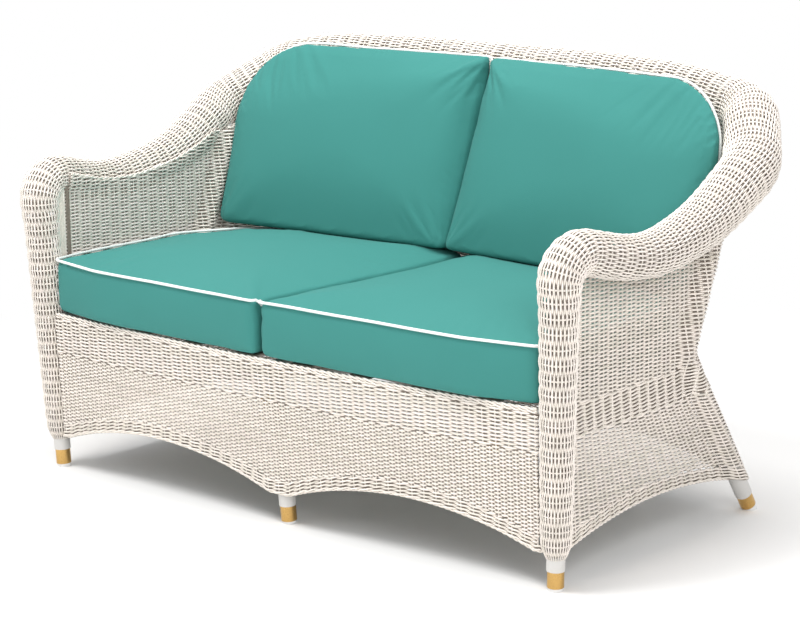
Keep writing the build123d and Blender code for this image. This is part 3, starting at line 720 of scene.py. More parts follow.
def rope(path, normal, period, swing, thick):
    # two strands twisted round one line; the tree swings them by the side and lift vectors
    along = lengthsAlong(path)
    tangent = unit(np.gradient(path, axis=0))
    side = squareTo(normal, tangent)
    lift = np.cross(tangent, side)
    scale = swing / weaving["swing"]
    return [strand(path, side * scale, along / period + turn, thick, lift=lift * scale, rest=0.9)
            for turn in (0, 0.5)]


def edgeRope(path, normal):
    return rope(path, normal, edging["period"], edging["swing"], edging["thick"])


def resampled(points, step):
    along = lengthsAlong(points)
    count = max(2, math.ceil(along[-1] / step))
    return sampled(along, points, np.linspace(0, along[-1], count + 1))


def planLine(cornerShares):
    # plan of the back panel or the rear skirt at one height, from right to left
    inset = panels["skin"] / 2
    right = [np.array([across * sofa["footHalfSpacing"], back * sofa["footDepth"], 0.0])
             for across, back in cornerShares]
    points = right + [point * mirror for point in reversed(right)]
    line = roundedLine(points, [0.09, 0.12, 0.12, 0.09], 0.01)
    across = unit(np.gradient(line, axis=0))
    line = line + np.stack([across[:, 1] * -inset, across[:, 0] * inset, across[:, 2]], axis=1)
    along = lengthsAlong(line)
    return along / along[-1], line


skirtPlan = planLine([(1.0, 0.949), (0.920, 0.968), (0.671, 1.021)])
leafPlan = planLine([(1.0, 0.636), (0.924, 0.823), (0.686, 0.943)])
rimPlan = planLine([(1.0, 0.959), (0.955, 1.013), (0.733, 1.036)])


def ruledSpot(lowPlan, lowHeight, highPlan, highHeight, stakes):
    def spot(places, heights):
        share = np.clip(places / stakes, 0, 1)
        low = sampled(lowPlan[0], lowPlan[1], share)
        high = sampled(highPlan[0], highPlan[1], share)
        rise = ((heights - lowHeight) / (highHeight - lowHeight))[:, None]
        points = low + (high - low) * rise
        points[:, 1] += sofa["footLine"]
        points[:, 2] = heights
        return points
    return spot


def ticks(low, high, density=1):
    steps = weaving["stepsPerStake"] * density
    return np.arange(math.ceil(low * steps), math.floor(high * steps) + 1) / steps


# Front skirt: coarse under the plaited border, finer below, waled along the arches
front = {"baseEnds": 0.0125, "baseBow": 0.0135, "topEnds": 0.023, "topBow": 0.030, "top": 0.3235,
         "rail": 0.324, "base": 0.058, "stakes": 46, "halfWidth": 0.63, "fineBelow": 0.250}
rear = {"base": 0.058, "leaf": 0.345, "rim": 0.830, "stakes": 46, "rowDensity": 0.75,
        "backBase": 0.346, "backStart": 0.3462, "backTop": 0.84}
frontOut = np.array([0.0, -1.0, 0.0])
rearOut = np.array([0.0, 1.0, 0.0])


def frontBow(across):
    return 1 - (across / sofa["footHalfSpacing"]) ** 2


def frontSpot(places, heights):
    across = -sofa["footHalfSpacing"] + places * (2 * sofa["footHalfSpacing"] / front["stakes"])
    rise = (heights - front["base"]) / (front["rail"] - front["base"])
    low = front["baseEnds"] + front["baseBow"] * frontBow(across)
    high = front["topEnds"] + front["topBow"] * frontBow(across)
    return np.stack([across, sofa["footLine"] - (low + (high - low) * rise), heights], axis=1)


def rowsOfSkirt(spot, outward, stakes, top, halfWidth, fineBelow):
    def between(points, heights):
        return np.abs(points[:, 0]) < halfWidth

    def aboveBorder(points, heights):
        return between(points, heights) & (heights > skirtEdge(points) + panels["border"] - panels["overlap"])

    def aboveEdge(points, heights):
        return between(points, heights) & (heights > skirtEdge(points) + panels["stakeStart"])

    strands = []
    for index in range(int((top - panels["lowest"]) / weaving["pitch"])):
        height = top - (index + 0.5) * weaving["pitch"]
        fine = height < fineBelow
        places = ticks(0, stakes, weaving["fineDensity"] if fine else 1)
        strands += rowStrand(spot, outward, places, height, aboveBorder, index, "fine" if fine else "plain")
    places = ticks(0, stakes)
    edge = skirtEdge(spot(places, np.full(len(places), panels["footHeight"])))
    for index in range(panels["borderRows"]):
        heights = edge + (index + panels["firstRow"]) * weaving["twinedPitch"]
        strands += rowStrand(spot, outward, places, heights, between, index, "twined")
    strands += stakeStrands(spot, outward, range(1, stakes), panels["lowest"], top, aboveEdge)
    if fineBelow > 0:
        halfway = np.arange(1, stakes) - 0.5
        strands += stakeStrands(spot, outward, halfway, panels["lowest"], fineBelow, aboveBorder)
    places = ticks(0, stakes, 2)
    base = spot(places, np.full(len(places), panels["footHeight"]))
    heights = skirtEdge(base) + edging["lift"]
    edge = spot(places, heights)
    normal, _ = facing(spot, places, heights, outward)
    for first, last in runsOf(clearOfRoll(edge) & between(base, heights)):
        line = resampled(edge[first:last], edging["step"])
        toward = sampled(np.linspace(0, 1, last - first), normal[first:last], np.linspace(0, 1, len(line)))
        strands += edgeRope(line, toward)
    return strands


frontStrands = rowsOfSkirt(frontSpot, frontOut, front["stakes"], front["top"], front["halfWidth"],
                           front["fineBelow"])
woven("frontSkirtWeave", frontStrands, "front_skirt_weave")
rearSpot = ruledSpot(skirtPlan, rear["base"], leafPlan, rear["leaf"], rear["stakes"])
rearStrands = rowsOfSkirt(rearSpot, rearOut, rear["stakes"], rear["leaf"], panels["backHalf"], 0)
woven("rearSkirtWeave", rearStrands, "rear_skirt_weave")

# Plaited border under the seat cushions
plait = {"halfWidth": 0.6175, "points": 320, "height": 0.329, "apart": 0.0026, "proud": 0.0006,
         "period": 0.034, "swing": 0.0015, "thick": 0.0018}
plaitAcross = np.linspace(-plait["halfWidth"], plait["halfWidth"], plait["points"])
plaitDepth = sofa["footLine"] - front["topEnds"] - front["topBow"] * frontBow(plaitAcross)
plaitLine = np.stack([plaitAcross, plaitDepth, np.full(plait["points"], plait["height"])], axis=1)
plaitStrands = []
for offset, start in ((plait["apart"], 0.0), (-plait["apart"], 0.5)):
    pair = rope(plaitLine + np.array([0, plait["proud"], offset]), np.tile(frontOut, (plait["points"], 1)),
                plait["period"], plait["swing"], plait["thick"])
    plaitStrands += [{**item, "phase": item["phase"] + start} for item in pair]
woven("seatBraid", plaitStrands, "seat_front_braid")
print("skirts woven")

# Back panel, between the rear uprights and up to the rolled rim
backSpot = ruledSpot(leafPlan, rear["leaf"], rimPlan, rear["rim"], rear["stakes"])
topLine = rimLine["points"][rimLine["along"] > rimLine["shoulder"] - 0.08]
topLine = topLine[np.argsort(topLine[:, 0])]


def backKeep(points, heights):
    underRim = heights < np.interp(np.abs(points[:, 0]), topLine[:, 0], topLine[:, 2])
    return (np.abs(points[:, 0]) < panels["backHalf"]) & underRim


backStrands = []
for index in range(int((rear["backTop"] - rear["backBase"]) / weaving["pitch"])):
    backStrands += rowStrand(backSpot, rearOut, ticks(0, rear["stakes"], rear["rowDensity"]),
                             rear["backStart"] + index * weaving["pitch"], backKeep, index + 1, "plain")
backStrands += stakeStrands(backSpot, rearOut, range(1, rear["stakes"]), rear["backBase"], rear["backTop"],
                            backKeep)
woven("backPanelWeave", backStrands, "back_weave")

# Side panels: flat from the post, then round the rear leg
sidePanel = {"lowerStakes": 18, "wrapRadius": 0.0195, "leave": 0.036, "lean": math.radians(130),
             "stretchLow": 1.2, "stretchHigh": 1.086,  # of the leg's round section, as the rows cut it
             "flankEnd": math.radians(12), "top": 0.70, "rope": (0.02, 0.60, 0.562)}
sideOut = np.array([1.0, 0.0, 0.0])


def legBackAt(heights):
    (kneeBack, kneeUp), (bendBack, bendUp) = panels["legKnee"], panels["legBend"]
    low = sofa["footDepth"] - heights * (sofa["footDepth"] - kneeBack) / kneeUp
    high = kneeBack + (heights - kneeUp) * (bendBack - kneeBack) / (bendUp - kneeUp)
    return np.where(heights < kneeUp, low, high)


def sideRow(heights):
    # lengths of a row's flat part, of its slope to the leg, and of its turn round the leg
    axis, radius, lean = legBackAt(heights), sidePanel["wrapRadius"], sidePanel["lean"]
    kneeUp = panels["legKnee"][1]
    stretch = np.where(heights < kneeUp, sidePanel["stretchLow"], sidePanel["stretchHigh"])
    flat = axis - sidePanel["leave"]
    contact = axis + radius * stretch * math.cos(lean)
    # a row stops behind the leg below the knee, on its outer flank above
    end = sidePanel["flankEnd"] * smooth(kneeUp - 0.008, kneeUp + 0.012, heights)
    return {"axis": axis, "stretch": stretch, "flat": flat, "contact": contact,
            "slope": np.hypot(contact - flat, radius * math.sin(lean)), "turn": radius * (lean - end)}


def sideSpotFor(stakes=None):
    # with a number of stakes the flat part has so many at every height; else they keep their pitch
    def spot(places, heights):
        row, radius, lean = sideRow(heights), sidePanel["wrapRadius"], sidePanel["lean"]
        travelled = places * (weaving["stakePitch"] if stakes is None else row["flat"] / stakes)
        share = np.clip((travelled - row["flat"]) / row["slope"], 0, 1)
        wrapped = travelled > row["flat"] + row["slope"]
        angle = lean - np.clip((travelled - row["flat"] - row["slope"]) / radius, 0, 3)
        back = np.minimum(travelled, row["flat"]) + share * (row["contact"] - row["flat"])
        back = np.where(wrapped, row["axis"] + radius * row["stretch"] * np.cos(angle), back)
        out = np.where(wrapped, radius * np.sin(angle), share * radius * math.sin(lean))
        return np.stack([panels["sideMiddle"] + out, sofa["footLine"] + back, heights], axis=1)
    return spot


def sidePlaces(height, stakes=None):
    row = sideRow(np.array([height]))
    pitch = weaving["stakePitch"] if stakes is None else row["flat"][0] / stakes
    last = (row["flat"][0] + row["slope"][0] + row["turn"][0]) / pitch
    return np.append(ticks(0, last - 0.02), last)


armPart = (rimLine["along"] > rimLine["postEnd"] + 0.04) & (rimLine["along"] < rimLine["shoulder"])
armBack = backOf(rimLine["points"][armPart])
armUp = rimLine["points"][armPart, 2]
armOut = rimLine["points"][armPart, 0] - panels["sideMiddle"]
armRadius = rimLine["radius"][armPart]
creaseUp = armUp - np.sqrt(np.maximum(armRadius ** 2 - armOut ** 2, 0))


def underTop(points, heights, by=0.0):
    # below the crease in which the panel meets the rolled arm
    return heights < np.interp(backOf(points), armBack, creaseUp) + by


def bandTop(points):
    return panels["bandHigh"] + 0.025 * smooth(0.34, 0.44, backOf(points))


def bandBase(points):
    return panels["bandLow"] + 0.013 * smooth(0.36, 0.45, backOf(points))


def inside(points, heights):
    aboveBorder = heights > sideEdge(backOf(points)) + panels["border"] - panels["overlap"]
    return aboveBorder & underTop(points, heights, 0.002)


def inUpper(points, heights):
    return inside(points, heights) & (heights > bandTop(points) - 0.002)


def inBand(points, heights):
    return inside(points, heights) & (heights <= bandTop(points)) & (heights >= bandBase(points))


def inLower(points, heights):
    return inside(points, heights) & (heights < bandBase(points) + panels["overlap"])


def onSide(points, heights):
    # stakes stop where the rows stop on the leg
    outside = points[:, 0] > panels["sideMiddle"] + sidePanel["wrapRadius"] * 0.9
    kept = (heights > sideEdge(backOf(points)) + panels["stakeStart"]) & underTop(points, heights)
    return kept & ((backOf(points) < legBackAt(heights) + 0.012) | outside)


upperSpot, lowerSpot = sideSpotFor(), sideSpotFor(sidePanel["lowerStakes"])
sideStrands = []
for spot, keep, stakes, kind, low, high, pitch in (
        (upperSpot, inUpper, None, "plain", 0.320, sidePanel["top"], weaving["pitch"]),
        (upperSpot, inBand, None, "twined", 0.255, 0.36, weaving["twinedPitch"]),
        (lowerSpot, inLower, sidePanel["lowerStakes"], "plain", 0.07, 0.29, weaving["pitch"])):
    for index in range(int((high - low) / pitch)):
        height = high - index * pitch
        sideStrands += rowStrand(spot, sideOut, sidePlaces(height, stakes), height, keep, index, kind)
places = sidePlaces(panels["footHeight"], sidePanel["lowerStakes"])
edge = sideEdge(backOf(lowerSpot(places, np.full(len(places), panels["footHeight"]))))
for index in range(panels["borderRows"]):
    heights = edge + (index + panels["firstRow"]) * weaving["twinedPitch"]
    sideStrands += rowStrand(lowerSpot, sideOut, places, heights, lambda points, z: z > 0, index, "twined")
sideStrands += stakeStrands(upperSpot, sideOut, range(1, 20), panels["bandLow"], sidePanel["top"], onSide)
sideStrands += stakeStrands(lowerSpot, sideOut, range(1, sidePanel["lowerStakes"] + 2), panels["lowest"],
                            panels["bandLow"], onSide)

# On the inner side the weave also goes round the rear upright, and up onto the flank of the roll
inner = {
    "leave": 0.006, "wrap": 0.0013, "rise": 0.006, "reach": 0.0035, "base": 0.325, "keepAbove": 0.34,
    "flankFirst": 1.2,  # place of the first stake on the flank
    "flankBelow": 0.012,  # how far below the crease the flank's rows start
    "flankStakesFrom": 0.45,  # height
    "stakes": (10, 20),
    "flankStakes": (2, 15),
    "proud": 0.0004,
}
postStrip = {"up": (0.300, 0.60, 0.012), "pitch": 0.0034, "radius": 0.0021, "sink": 0.010}
postStrips = [  # from and to, depth and distance from the panel's middle: the strip, then the slit, strands painted fully dark as the shadow in the gap
    (-0.004, 0.024, 0.6, 0.0034), (0.030, 0.038, -1.0, 0.0042)]
crease = {"from": 0.040, "to": 0.455, "points": 120, "period": 0.030, "swing": 0.0014, "thick": 0.0019}


def innerSpot(places, heights):
    points = upperSpot(places, heights)
    out = points[:, 0] - panels["sideMiddle"]
    points[:, 0] = panels["sideMiddle"] - out * (1 + inner["wrap"] / sidePanel["wrapRadius"]) - inner["proud"]
    return points


def flankSpot(places, heights):
    back = places * weaving["stakePitch"]
    up, out, radius = [np.interp(back, armBack, values) for values in (armUp, armOut, armRadius)]
    radius = radius + inner["reach"]
    across = np.minimum(out - np.sqrt(np.maximum(radius ** 2 - (heights - up) ** 2, 0)), 0)
    return np.stack([panels["sideMiddle"] + across, sofa["footLine"] + back, heights], axis=1)


def flankTop(back):
    return np.interp(back, armBack, armUp) + inner["rise"]


def onInner(points, heights):
    return (heights > inner["keepAbove"]) & underTop(points, heights, 0.01)


def onInnerStake(points, heights):
    return (points[:, 0] < panels["sideMiddle"] - 0.004) & underTop(points, heights)


def onFlank(points, heights):
    return ~underTop(points, heights, -inner["flankBelow"]) & (heights < flankTop(backOf(points)))


for index in range(int((sidePanel["top"] - inner["base"]) / weaving["pitch"])):
    height = sidePanel["top"] - index * weaving["pitch"]
    places = sidePlaces(height)
    start = (sideRow(np.array([height]))["flat"][0] - inner["leave"]) / weaving["stakePitch"]
    for spot, part, keep in ((innerSpot, places[places > start], onInner),
                             (flankSpot, ticks(inner["flankFirst"], start), onFlank)):
        sideStrands += rowStrand(spot, -sideOut, part, height, keep, index + 1, "plain")
for spot, stakes, low, keep in ((innerSpot, inner["stakes"], inner["keepAbove"], onInnerStake),
                                (flankSpot, inner["flankStakes"], inner["flankStakesFrom"], onFlank)):
    sideStrands += stakeStrands(spot, -sideOut, range(*stakes), low, sidePanel["top"], keep)
for low, high, rest, offset in postStrips:
    for back in np.arange(low, high, postStrip["pitch"]):
        heights = np.arange(*postStrip["up"])
        line = np.stack([np.full(len(heights), panels["sideMiddle"] - offset),
                         np.full(len(heights), sofa["footLine"] + back), heights], axis=1)
        for first, last in runsOf(clearOfRoll(line, postStrip["sink"])):
            if last - first > 2:
                sideStrands.append(strand(line[first:last], -sideOut, 0, postStrip["radius"], reach=0.0,
                                          rest=rest))
ropeFrom, ropeTo, ropeEnd = sidePanel["rope"]
edgeBack = np.linspace(ropeFrom, ropeTo, 150)
edgeLine = np.stack([np.full(150, panels["sideMiddle"]), sofa["footLine"] + edgeBack,
                     sideEdge(edgeBack) + edging["lift"]], axis=1)
edgeLine = resampled(edgeLine[clearOfRoll(edgeLine) & (edgeBack < ropeEnd)], edging["step"])
sideStrands += edgeRope(edgeLine, np.tile(sideOut, (len(edgeLine), 1)))
creaseBack = np.linspace(crease["from"], crease["to"], crease["points"])
creaseLine = resampled(flankSpot(creaseBack / weaving["stakePitch"], flankTop(creaseBack)), edging["step"])
sideStrands += rope(creaseLine, np.tile(-sideOut, (len(creaseLine), 1)), crease["period"], crease["swing"],
                    crease["thick"])
woven("sideWeaveRight", sideStrands, "side_weave_right")
woven("sideWeaveLeft", mirroredStrands(sideStrands), "side_weave_left")
print("panels woven")


# Cushions
cushionLook = {"halfGap": 0.0025, "clear": 0.0005, "ringPoints": 200, "seamPoints": 300, "frames": 14,
               "crownShares": [(0.40, 0.93), (0.76, 0.75), (0.94, 0.45), (1.0, 0.20)],
               "endShares": (0.25, 0.6, 0.85)}
seatPad = {
    "halfWidth": (0.630 - 0.0025) / 2,
    "halfDepth": 0.613 / 2,
    "ahead": 0.051,  # of the front feet
    "height": 0.110,
    "crown": 0.021,
    "outline": [(-1.0, -1.045), (0.50, -1.015), (0.975, -0.915), (1.0, -0.66), (1.0, 0.243), (0.78, 0.70),
                (0.366, 0.977), (-1.0, 1.0)],
    "bends": [0.010, 0.20, 0.018, 0.090, 0.110, 0.070, 0.110, 0.026],
    "sides": [(0.0, 0.985), (0.06, 0.998), (0.5, 1.002), (0.9, 0.999), (1.0, 0.990)],
    "inset": 0.0035,  # the fabric swells back out by this much and more
    "cap": 0.012,
    "voxel": 0.0062,
    "flatBelow": sofa["deckHeight"] + 0.006,
    "plainSeam": (0.006, 0.985),
    "fill": 0.8,
    "wave": 0.0019,  # of the piping
}
seatPad["middle"] = place(cushionLook["halfGap"] + seatPad["halfWidth"],
                          seatPad["halfDepth"] - seatPad["ahead"], sofa["deckHeight"] + cushionLook["clear"])
backPad = {
    "width": 0.606,
    "height": 0.384,
    "base": sofa["deckHeight"] + 0.001 + seatPad["height"] + 0.70 * seatPad["crown"],
    "crown": 0.024,
    "outline": [(-1.022, -1.03), (0.99, -1.035), (1.005, 1.0), (-1.034, 1.0)],
    "bends": [0.014, 0.018, 0.180, 0.010],
    "shoulderBends": {"Right": 0.135, "Left": 0.178},
    "sides": [(0.0, 0.985), (0.12, 0.998), (0.5, 1.0), (0.86, 0.998), (1.0, 0.978)],
    "spread": 0.035,  # how much further the outer side stands in front than behind
    "innerSpread": 0.032,  # and the inner side behind than in front
    "faceLine": 0.487,
    "baseDepth": 0.095,
    "frontRake": 0.118,
    "rearRake": 0.047,
    "frontYaw": 4.5,
    "rearYaw": 6.5,
    "inset": 0.002,
    "cap": 0.011,
    "voxel": 0.006,
    "plainSeam": 0.985,
    "fill": 0.75,
    "wave": 0.0032,
}
backPad["flatBelow"] = backPad["base"] + 0.010
meeting = {"near": 0.26, "seatShift": -0.022, "seatRun": (-0.02, 0.42), "backShift": -0.018,
           "backLean": 0.027}
clothSettings = {
    "quality": 5, "mass": 0.25, "tension_stiffness": 12, "compression_stiffness": 12,
    "shear_stiffness": 6, "bending_stiffness": 0.6, "use_pressure": True, "uniform_pressure_force": 2.4,
    "vertex_group_mass": "held",
}
puckers = {  # at the piped seam and at the other one: groove, its width, swell beside it and its width
    "seam": (-0.0018, 0.006, 0.0014, 0.028, 0.11, 3.7, 0.4),
    "plainSeam": (-0.0014, 0.005, 0.0012, 0.022, 0.13, 5.1, 1.4),
    "slack": 0.0014,
}
piping = {"radius": 0.0027, "sides": 10, "start": 12, "sunk": 0.016}


def outlineAt(pad, halfWidth, halfHeight, scale, inset, count):
    points = [np.array([across * (halfWidth * scale - inset), up * (halfHeight * scale - inset), 0.0])
              for across, up in pad["outline"]]
    line = roundedLine(points, [bend * scale for bend in pad["bends"]], rim["step"], closed=True)
    along = lengthsAlong(line)
    return sampled(along, line, np.linspace(0, along[-1], count, endpoint=False))


def seatRing(lift, scale, inset=0.0, count=cushionLook["ringPoints"]):
    total = seatPad["height"] + seatPad["crown"]
    ring = outlineAt(seatPad, seatPad["halfWidth"], seatPad["halfDepth"], scale, inset, count)
    ring[:, 2] = inset + lift * (total - 2 * inset) / total
    return ring + seatPad["middle"]


def backRing(share, bulge, scale, inset=0.0, count=cushionLook["ringPoints"]):
    # share runs from the rear face to the front one, bulge is what stands out past it
    insetShare = inset / backPad["baseDepth"]
    share = insetShare + share * (1 - 2 * insetShare)
    yaw = math.radians(backPad["rearYaw"] + (backPad["frontYaw"] - backPad["rearYaw"]) * share)
    across = np.array([math.cos(yaw), -math.sin(yaw), 0])
    backward = np.array([math.sin(yaw), math.cos(yaw), 0])
    foot = place(cushionLook["halfGap"], backPad["faceLine"], backPad["base"])
    foot = foot + backward * backPad["baseDepth"] * (1 - share)
    rake = backPad["rearRake"] + (backPad["frontRake"] - backPad["rearRake"]) * share
    rise = np.array([0, 0, backPad["height"]]) + backward * rake
    middle = foot + across * backPad["width"] / 2 + rise / 2
    normal = unit(np.cross(across, rise))
    up = np.cross(normal, across)
    ring = outlineAt(backPad, backPad["width"] / 2, np.linalg.norm(rise) / 2, scale, inset, count)
    ring[:, 0] *= np.where(ring[:, 0] > 0, 1 + backPad["spread"] * share,
                           1 + backPad["innerSpread"] * (1 - share))
    return middle + normal * bulge + ring[:, :1] * across + ring[:, 1:2] * up


def seatRings(inset):
    rings = [seatRing(0, seatPad["sides"][0][1] * share, inset) for share in cushionLook["endShares"]]
    rings += [seatRing(share * seatPad["height"], scale, inset) for share, scale in seatPad["sides"]]
    return rings + [seatRing(seatPad["height"] + share * seatPad["crown"], scale, inset)
                    for share, scale in cushionLook["crownShares"]]


def backRings(inset):
    rings = [backRing(0, 0, backPad["sides"][0][1] * share, inset) for share in cushionLook["endShares"]]
    rings += [backRing(share, 0, scale, inset) for share, scale in backPad["sides"]]
    return rings + [backRing(1, share * backPad["crown"], scale, inset)
                    for share, scale in cushionLook["crownShares"]]


def settled(points, kind):
    # the two cushions of a pair meet a little left of the middle, the backs further right at the top
    points = points.copy()
    near = 1 - smooth(0.0, meeting["near"], np.abs(points[:, 0]))
    if kind == "seat":
        move = meeting["seatShift"] * (1 - smooth(*meeting["seatRun"], backOf(points)))
    else:
        rise = np.clip((points[:, 2] - backPad["base"]) / backPad["height"], 0, 1)
        move = meeting["backShift"] + meeting["backLean"] * rise
    points[:, 0] += move * near
    return points


def ringMesh(name, rings):
    # closed skin through a stack of rings, with a point in the middle of each end
    count = len(rings[0])
    points = np.concatenate(rings + [rings[0].mean(axis=0)[None], rings[-1].mean(axis=0)[None]])
    first, last, top = len(points) - 2, len(points) - 1, (len(rings) - 1) * count
    after = [(index + 1) % count for index in range(count)]
    faces = [(level + index, level + after[index], level + count + after[index], level + count + index)
             for level in range(0, top, count) for index in range(count)]
    for index in range(count):
        faces += [(first, after[index], index), (last, top + index, top + after[index])]
    mesh = bpy.data.meshes.new(name)
    mesh.from_pydata(points.tolist(), [], faces)
    return mesh


def applied(piece):
    # the piece with its modifiers worked into its mesh
    evaluated = piece.evaluated_get(bpy.context.evaluated_depsgraph_get())
    mesh = bpy.data.meshes.new_from_object(evaluated)
    piece.modifiers.clear()
    piece.data = mesh
    return mesh


def vectorsOf(mesh, key="co"):
    values = np.empty(len(mesh.vertices) * 3, np.float32)
    mesh.vertices.foreach_get(key, values)
    return values.reshape(-1, 3).astype(float)


def setCoordinates(mesh, points):
    mesh.vertices.foreach_set("co", np.asarray(points, np.float32).ravel())
    mesh.update()


def distancesTo(line, points):
    tree = KDTree(len(line))
    for index, point in enumerate(line):
        tree.insert(point, index)
    tree.balance()
    found = [tree.find(point) for point in points]
    return np.array([item[2] for item in found]), np.array([item[1] for item in found])


def noiseAlong(count, step, second, third):
    return np.array([noise.noise((index * step, second, third)) for index in range(count)])


def swell(piece, cap, pinned):
    # pressure from inside, the seams held, and no point further than the cap
    before = vectorsOf(piece.data)
    group = piece.vertex_groups.new(name="held")
    for index in np.flatnonzero(pinned > 0.02):
        group.add([int(index)], float(pinned[index]), "REPLACE")
    cloth = piece.modifiers.new("cloth", "CLOTH")
    for key, value in clothSettings.items():
        setattr(cloth.settings, key, value)
    cloth.settings.effector_weights.gravity = 0
    cloth.point_cache.frame_end = cushionLook["frames"] + 2
    for step in range(1, cushionLook["frames"] + 1):
        scene.frame_set(step)
    mesh = applied(piece)
    move = vectorsOf(mesh) - before
    length = np.linalg.norm(move, axis=1, keepdims=True)
    limited = cap * np.tanh(length / cap)
    setCoordinates(mesh, before + move * limited / np.maximum(length, 1e-9))
    scene.frame_set(1)


def makeCushion(name, rings, seam, plainSeam, pad, seed):
    piece = newPiece(name, ringMesh(name, rings))
    remesh = piece.modifiers.new("skin", "REMESH")
    remesh.mode = "VOXEL"
    remesh.voxel_size = pad["voxel"]
    points = vectorsOf(applied(piece))
    seamDistance = distancesTo(seam, points)[0]
    resting = (points[:, 2] < pad["flatBelow"]).astype(float)
    swell(piece, pad["cap"], np.maximum(1 - smooth(0.004, 0.010, seamDistance), resting))
    mesh = piece.data
    points = vectorsOf(mesh)
    move = np.zeros(len(points))
    for key, line in (("seam", seam), ("plainSeam", plainSeam)):
        groove, width, swelling, reach, step, second, third = puckers[key]
        distance, nearest = distancesTo(line, points)
        move += groove * np.exp(-(distance / width) ** 2)
        pucker = noiseAlong(len(line), step, seed * second, third)
        move += swelling * pucker[nearest] * np.exp(-(distance / reach) ** 2)
    slack = np.array([noise.noise((point[0] * 7 + seed, point[1] * 7, point[2] * 7)) for point in points])
    move += puckers["slack"] * slack
    setCoordinates(mesh, points + vectorsOf(mesh, "normal") * move[:, None])
    mesh.materials.clear()
    mesh.materials.append(finishes["fabric"])
    finer = piece.modifiers.new("finer", "SUBSURF")
    finer.levels = finer.render_levels = 1
    mesh = applied(piece)
    mesh.shade_smooth()
    print(name, "faces", len(mesh.polygons))
    return piece


def makeCord(name, line, wave, seed, body):
    # piping sewn into the seam, not quite straight
    count, sides = len(line), piping["sides"]
    outward = unit(line - line.mean(axis=0))
    steps = np.arange(count)
    window = np.minimum(1, np.minimum(steps, steps[::-1]) / piping["start"])
    line = line + outward * (noiseAlong(count, 0.045, seed * 2.3, 0.2) * window * wave)[:, None]
    line[:, 2] += noiseAlong(count, 0.05, seed * 4.1, 5.2) * window * wave
    tangent = unit(np.roll(line, -1, axis=0) - np.roll(line, 1, axis=0))
    side = squareTo(outward, tangent)
    other = np.cross(tangent, side)
    points = np.concatenate([line + piping["radius"] * (side * math.cos(angle) + other * math.sin(angle))
                             for angle in np.linspace(0, 2 * math.pi, sides, endpoint=False)])
    faces = []
    for ring in range(sides):
        here, beyond = ring * count, (ring + 1) % sides * count
        for index in range(count):
            ahead = (index + 1) % count
            faces.append((here + index, here + ahead, beyond + ahead, beyond + index))
    mesh = bpy.data.meshes.new(name)
    mesh.from_pydata(points.tolist(), [], faces)
    mesh.validate()
    mesh.materials.append(finishes["piping"])
    mesh.shade_smooth()
    piece = newPiece(name, mesh)
    volume = sum((mesh.vertices[a].co.cross(mesh.vertices[b].co)).dot(mesh.vertices[c].co)
                 for a, b, c in (tuple(face.vertices)[:3] for face in mesh.polygons))
    if volume < 0:
        mesh.flip_normals()
    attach(piece, body)
    return piece


def sunk(line):
    # where the two seats press together their cords go down out of sight
    line = line.copy()
    near = 1 - smooth(0.010, 0.040, np.abs(line[:, 0] + 0.012))
    line[:, 2] -= piping["sunk"] * near * smooth(-0.052, -0.030, backOf(line))
    return line


for sideName, flip, seed in (("Right", np.ones(3), 1), ("Left", mirror, 2)):
    low, count = sideName.lower(), cushionLook["seamPoints"]
    backPad["bends"][2] = backPad["shoulderBends"][sideName]
    seatSeams = (seatRing(seatPad["height"], seatPad["sides"][-1][1], count=count),
                 seatRing(*seatPad["plainSeam"], count=count))
    backSeams = (backRing(0, 0, backPad["sides"][0][1], count=count),
                 backRing(1, 0, backPad["plainSeam"], count=count))
    for kind, pad, makeRings, seams, number in (("seat", seatPad, seatRings, seatSeams, seed),
                                                ("back", backPad, backRings, backSeams, seed + 4)):
        rings = makeRings(pad["inset"])
        rings = [settled(ring * flip, kind) for ring in rings]
        seam, plainSeam = [settled(line * flip, kind) for line in seams]
        node = kind + "_cushion_"
        cushion = makeCushion(kind + "Cushion" + sideName, rings, seam, plainSeam, pad, number)
        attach(cushion, node + low)
        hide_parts(node + "cover_" + low, node + "core_" + low)
        cordLine = sunk(seam) if kind == "seat" else seam
        cord = makeCord(kind + "Piping" + sideName, cordLine, pad["wave"], number + 10, node + low)
        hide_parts(node + "piping_" + low)
print("cushions sewn")


# Floor, light and camera
studio = {
    "world": 0.63,
    "worldTone": (0.97, 0.98, 1.0),
    "floorTone": (0.90, 0.895, 0.885),
    "floorGlow": 0.03,  # share of plain white in the floor near the sofa
    "fade": (0.95, 1.9),  # distances over which it turns white
    "floorRadius": 18.0,
    "floorPoints": 96,
    "floorDrop": 0.0004,
    "lamps": [
        ("keyLamp", (-1.1, -2.3, 4.6), 2.2, 160.0),
        ("fillLamp", (3.4, -2.4, 2.6), 2.4, 72.0),
        ("topLamp", (0.3, 0.2, 4.2), 1.8, 72.0),
    ],
    "lampTarget": (0, 0, 0.4),
    "azimuth": 0.705429,
    "elevation": 0.220635,
    "roll": -0.00939615,
    "target": (0.0228657, 0.308253 + sofa["footLine"], 0.361933),
    "distance": 5.018436,
    "lens": 36 * 2527.746 / 800,
}


def nodesOf(data):
    data.use_nodes = True
    data.node_tree.nodes.clear()
    return data.node_tree


def seenDirectly(tree):
    # by the camera, in a mirror or through glass
    light = addNode(tree, "ShaderNodeLightPath").outputs
    seen = mathNode(tree, "MAXIMUM", light["Is Camera Ray"], light["Is Glossy Ray"])
    return mathNode(tree, "MAXIMUM", seen, light["Is Transmission Ray"])


def mixedInto(tree, kind, share, first, second):
    mix = addNode(tree, "ShaderNodeMixShader", {0: share, 1: first.outputs[0], 2: second.outputs[0]})
    addNode(tree, kind, {0: mix.outputs[0]})


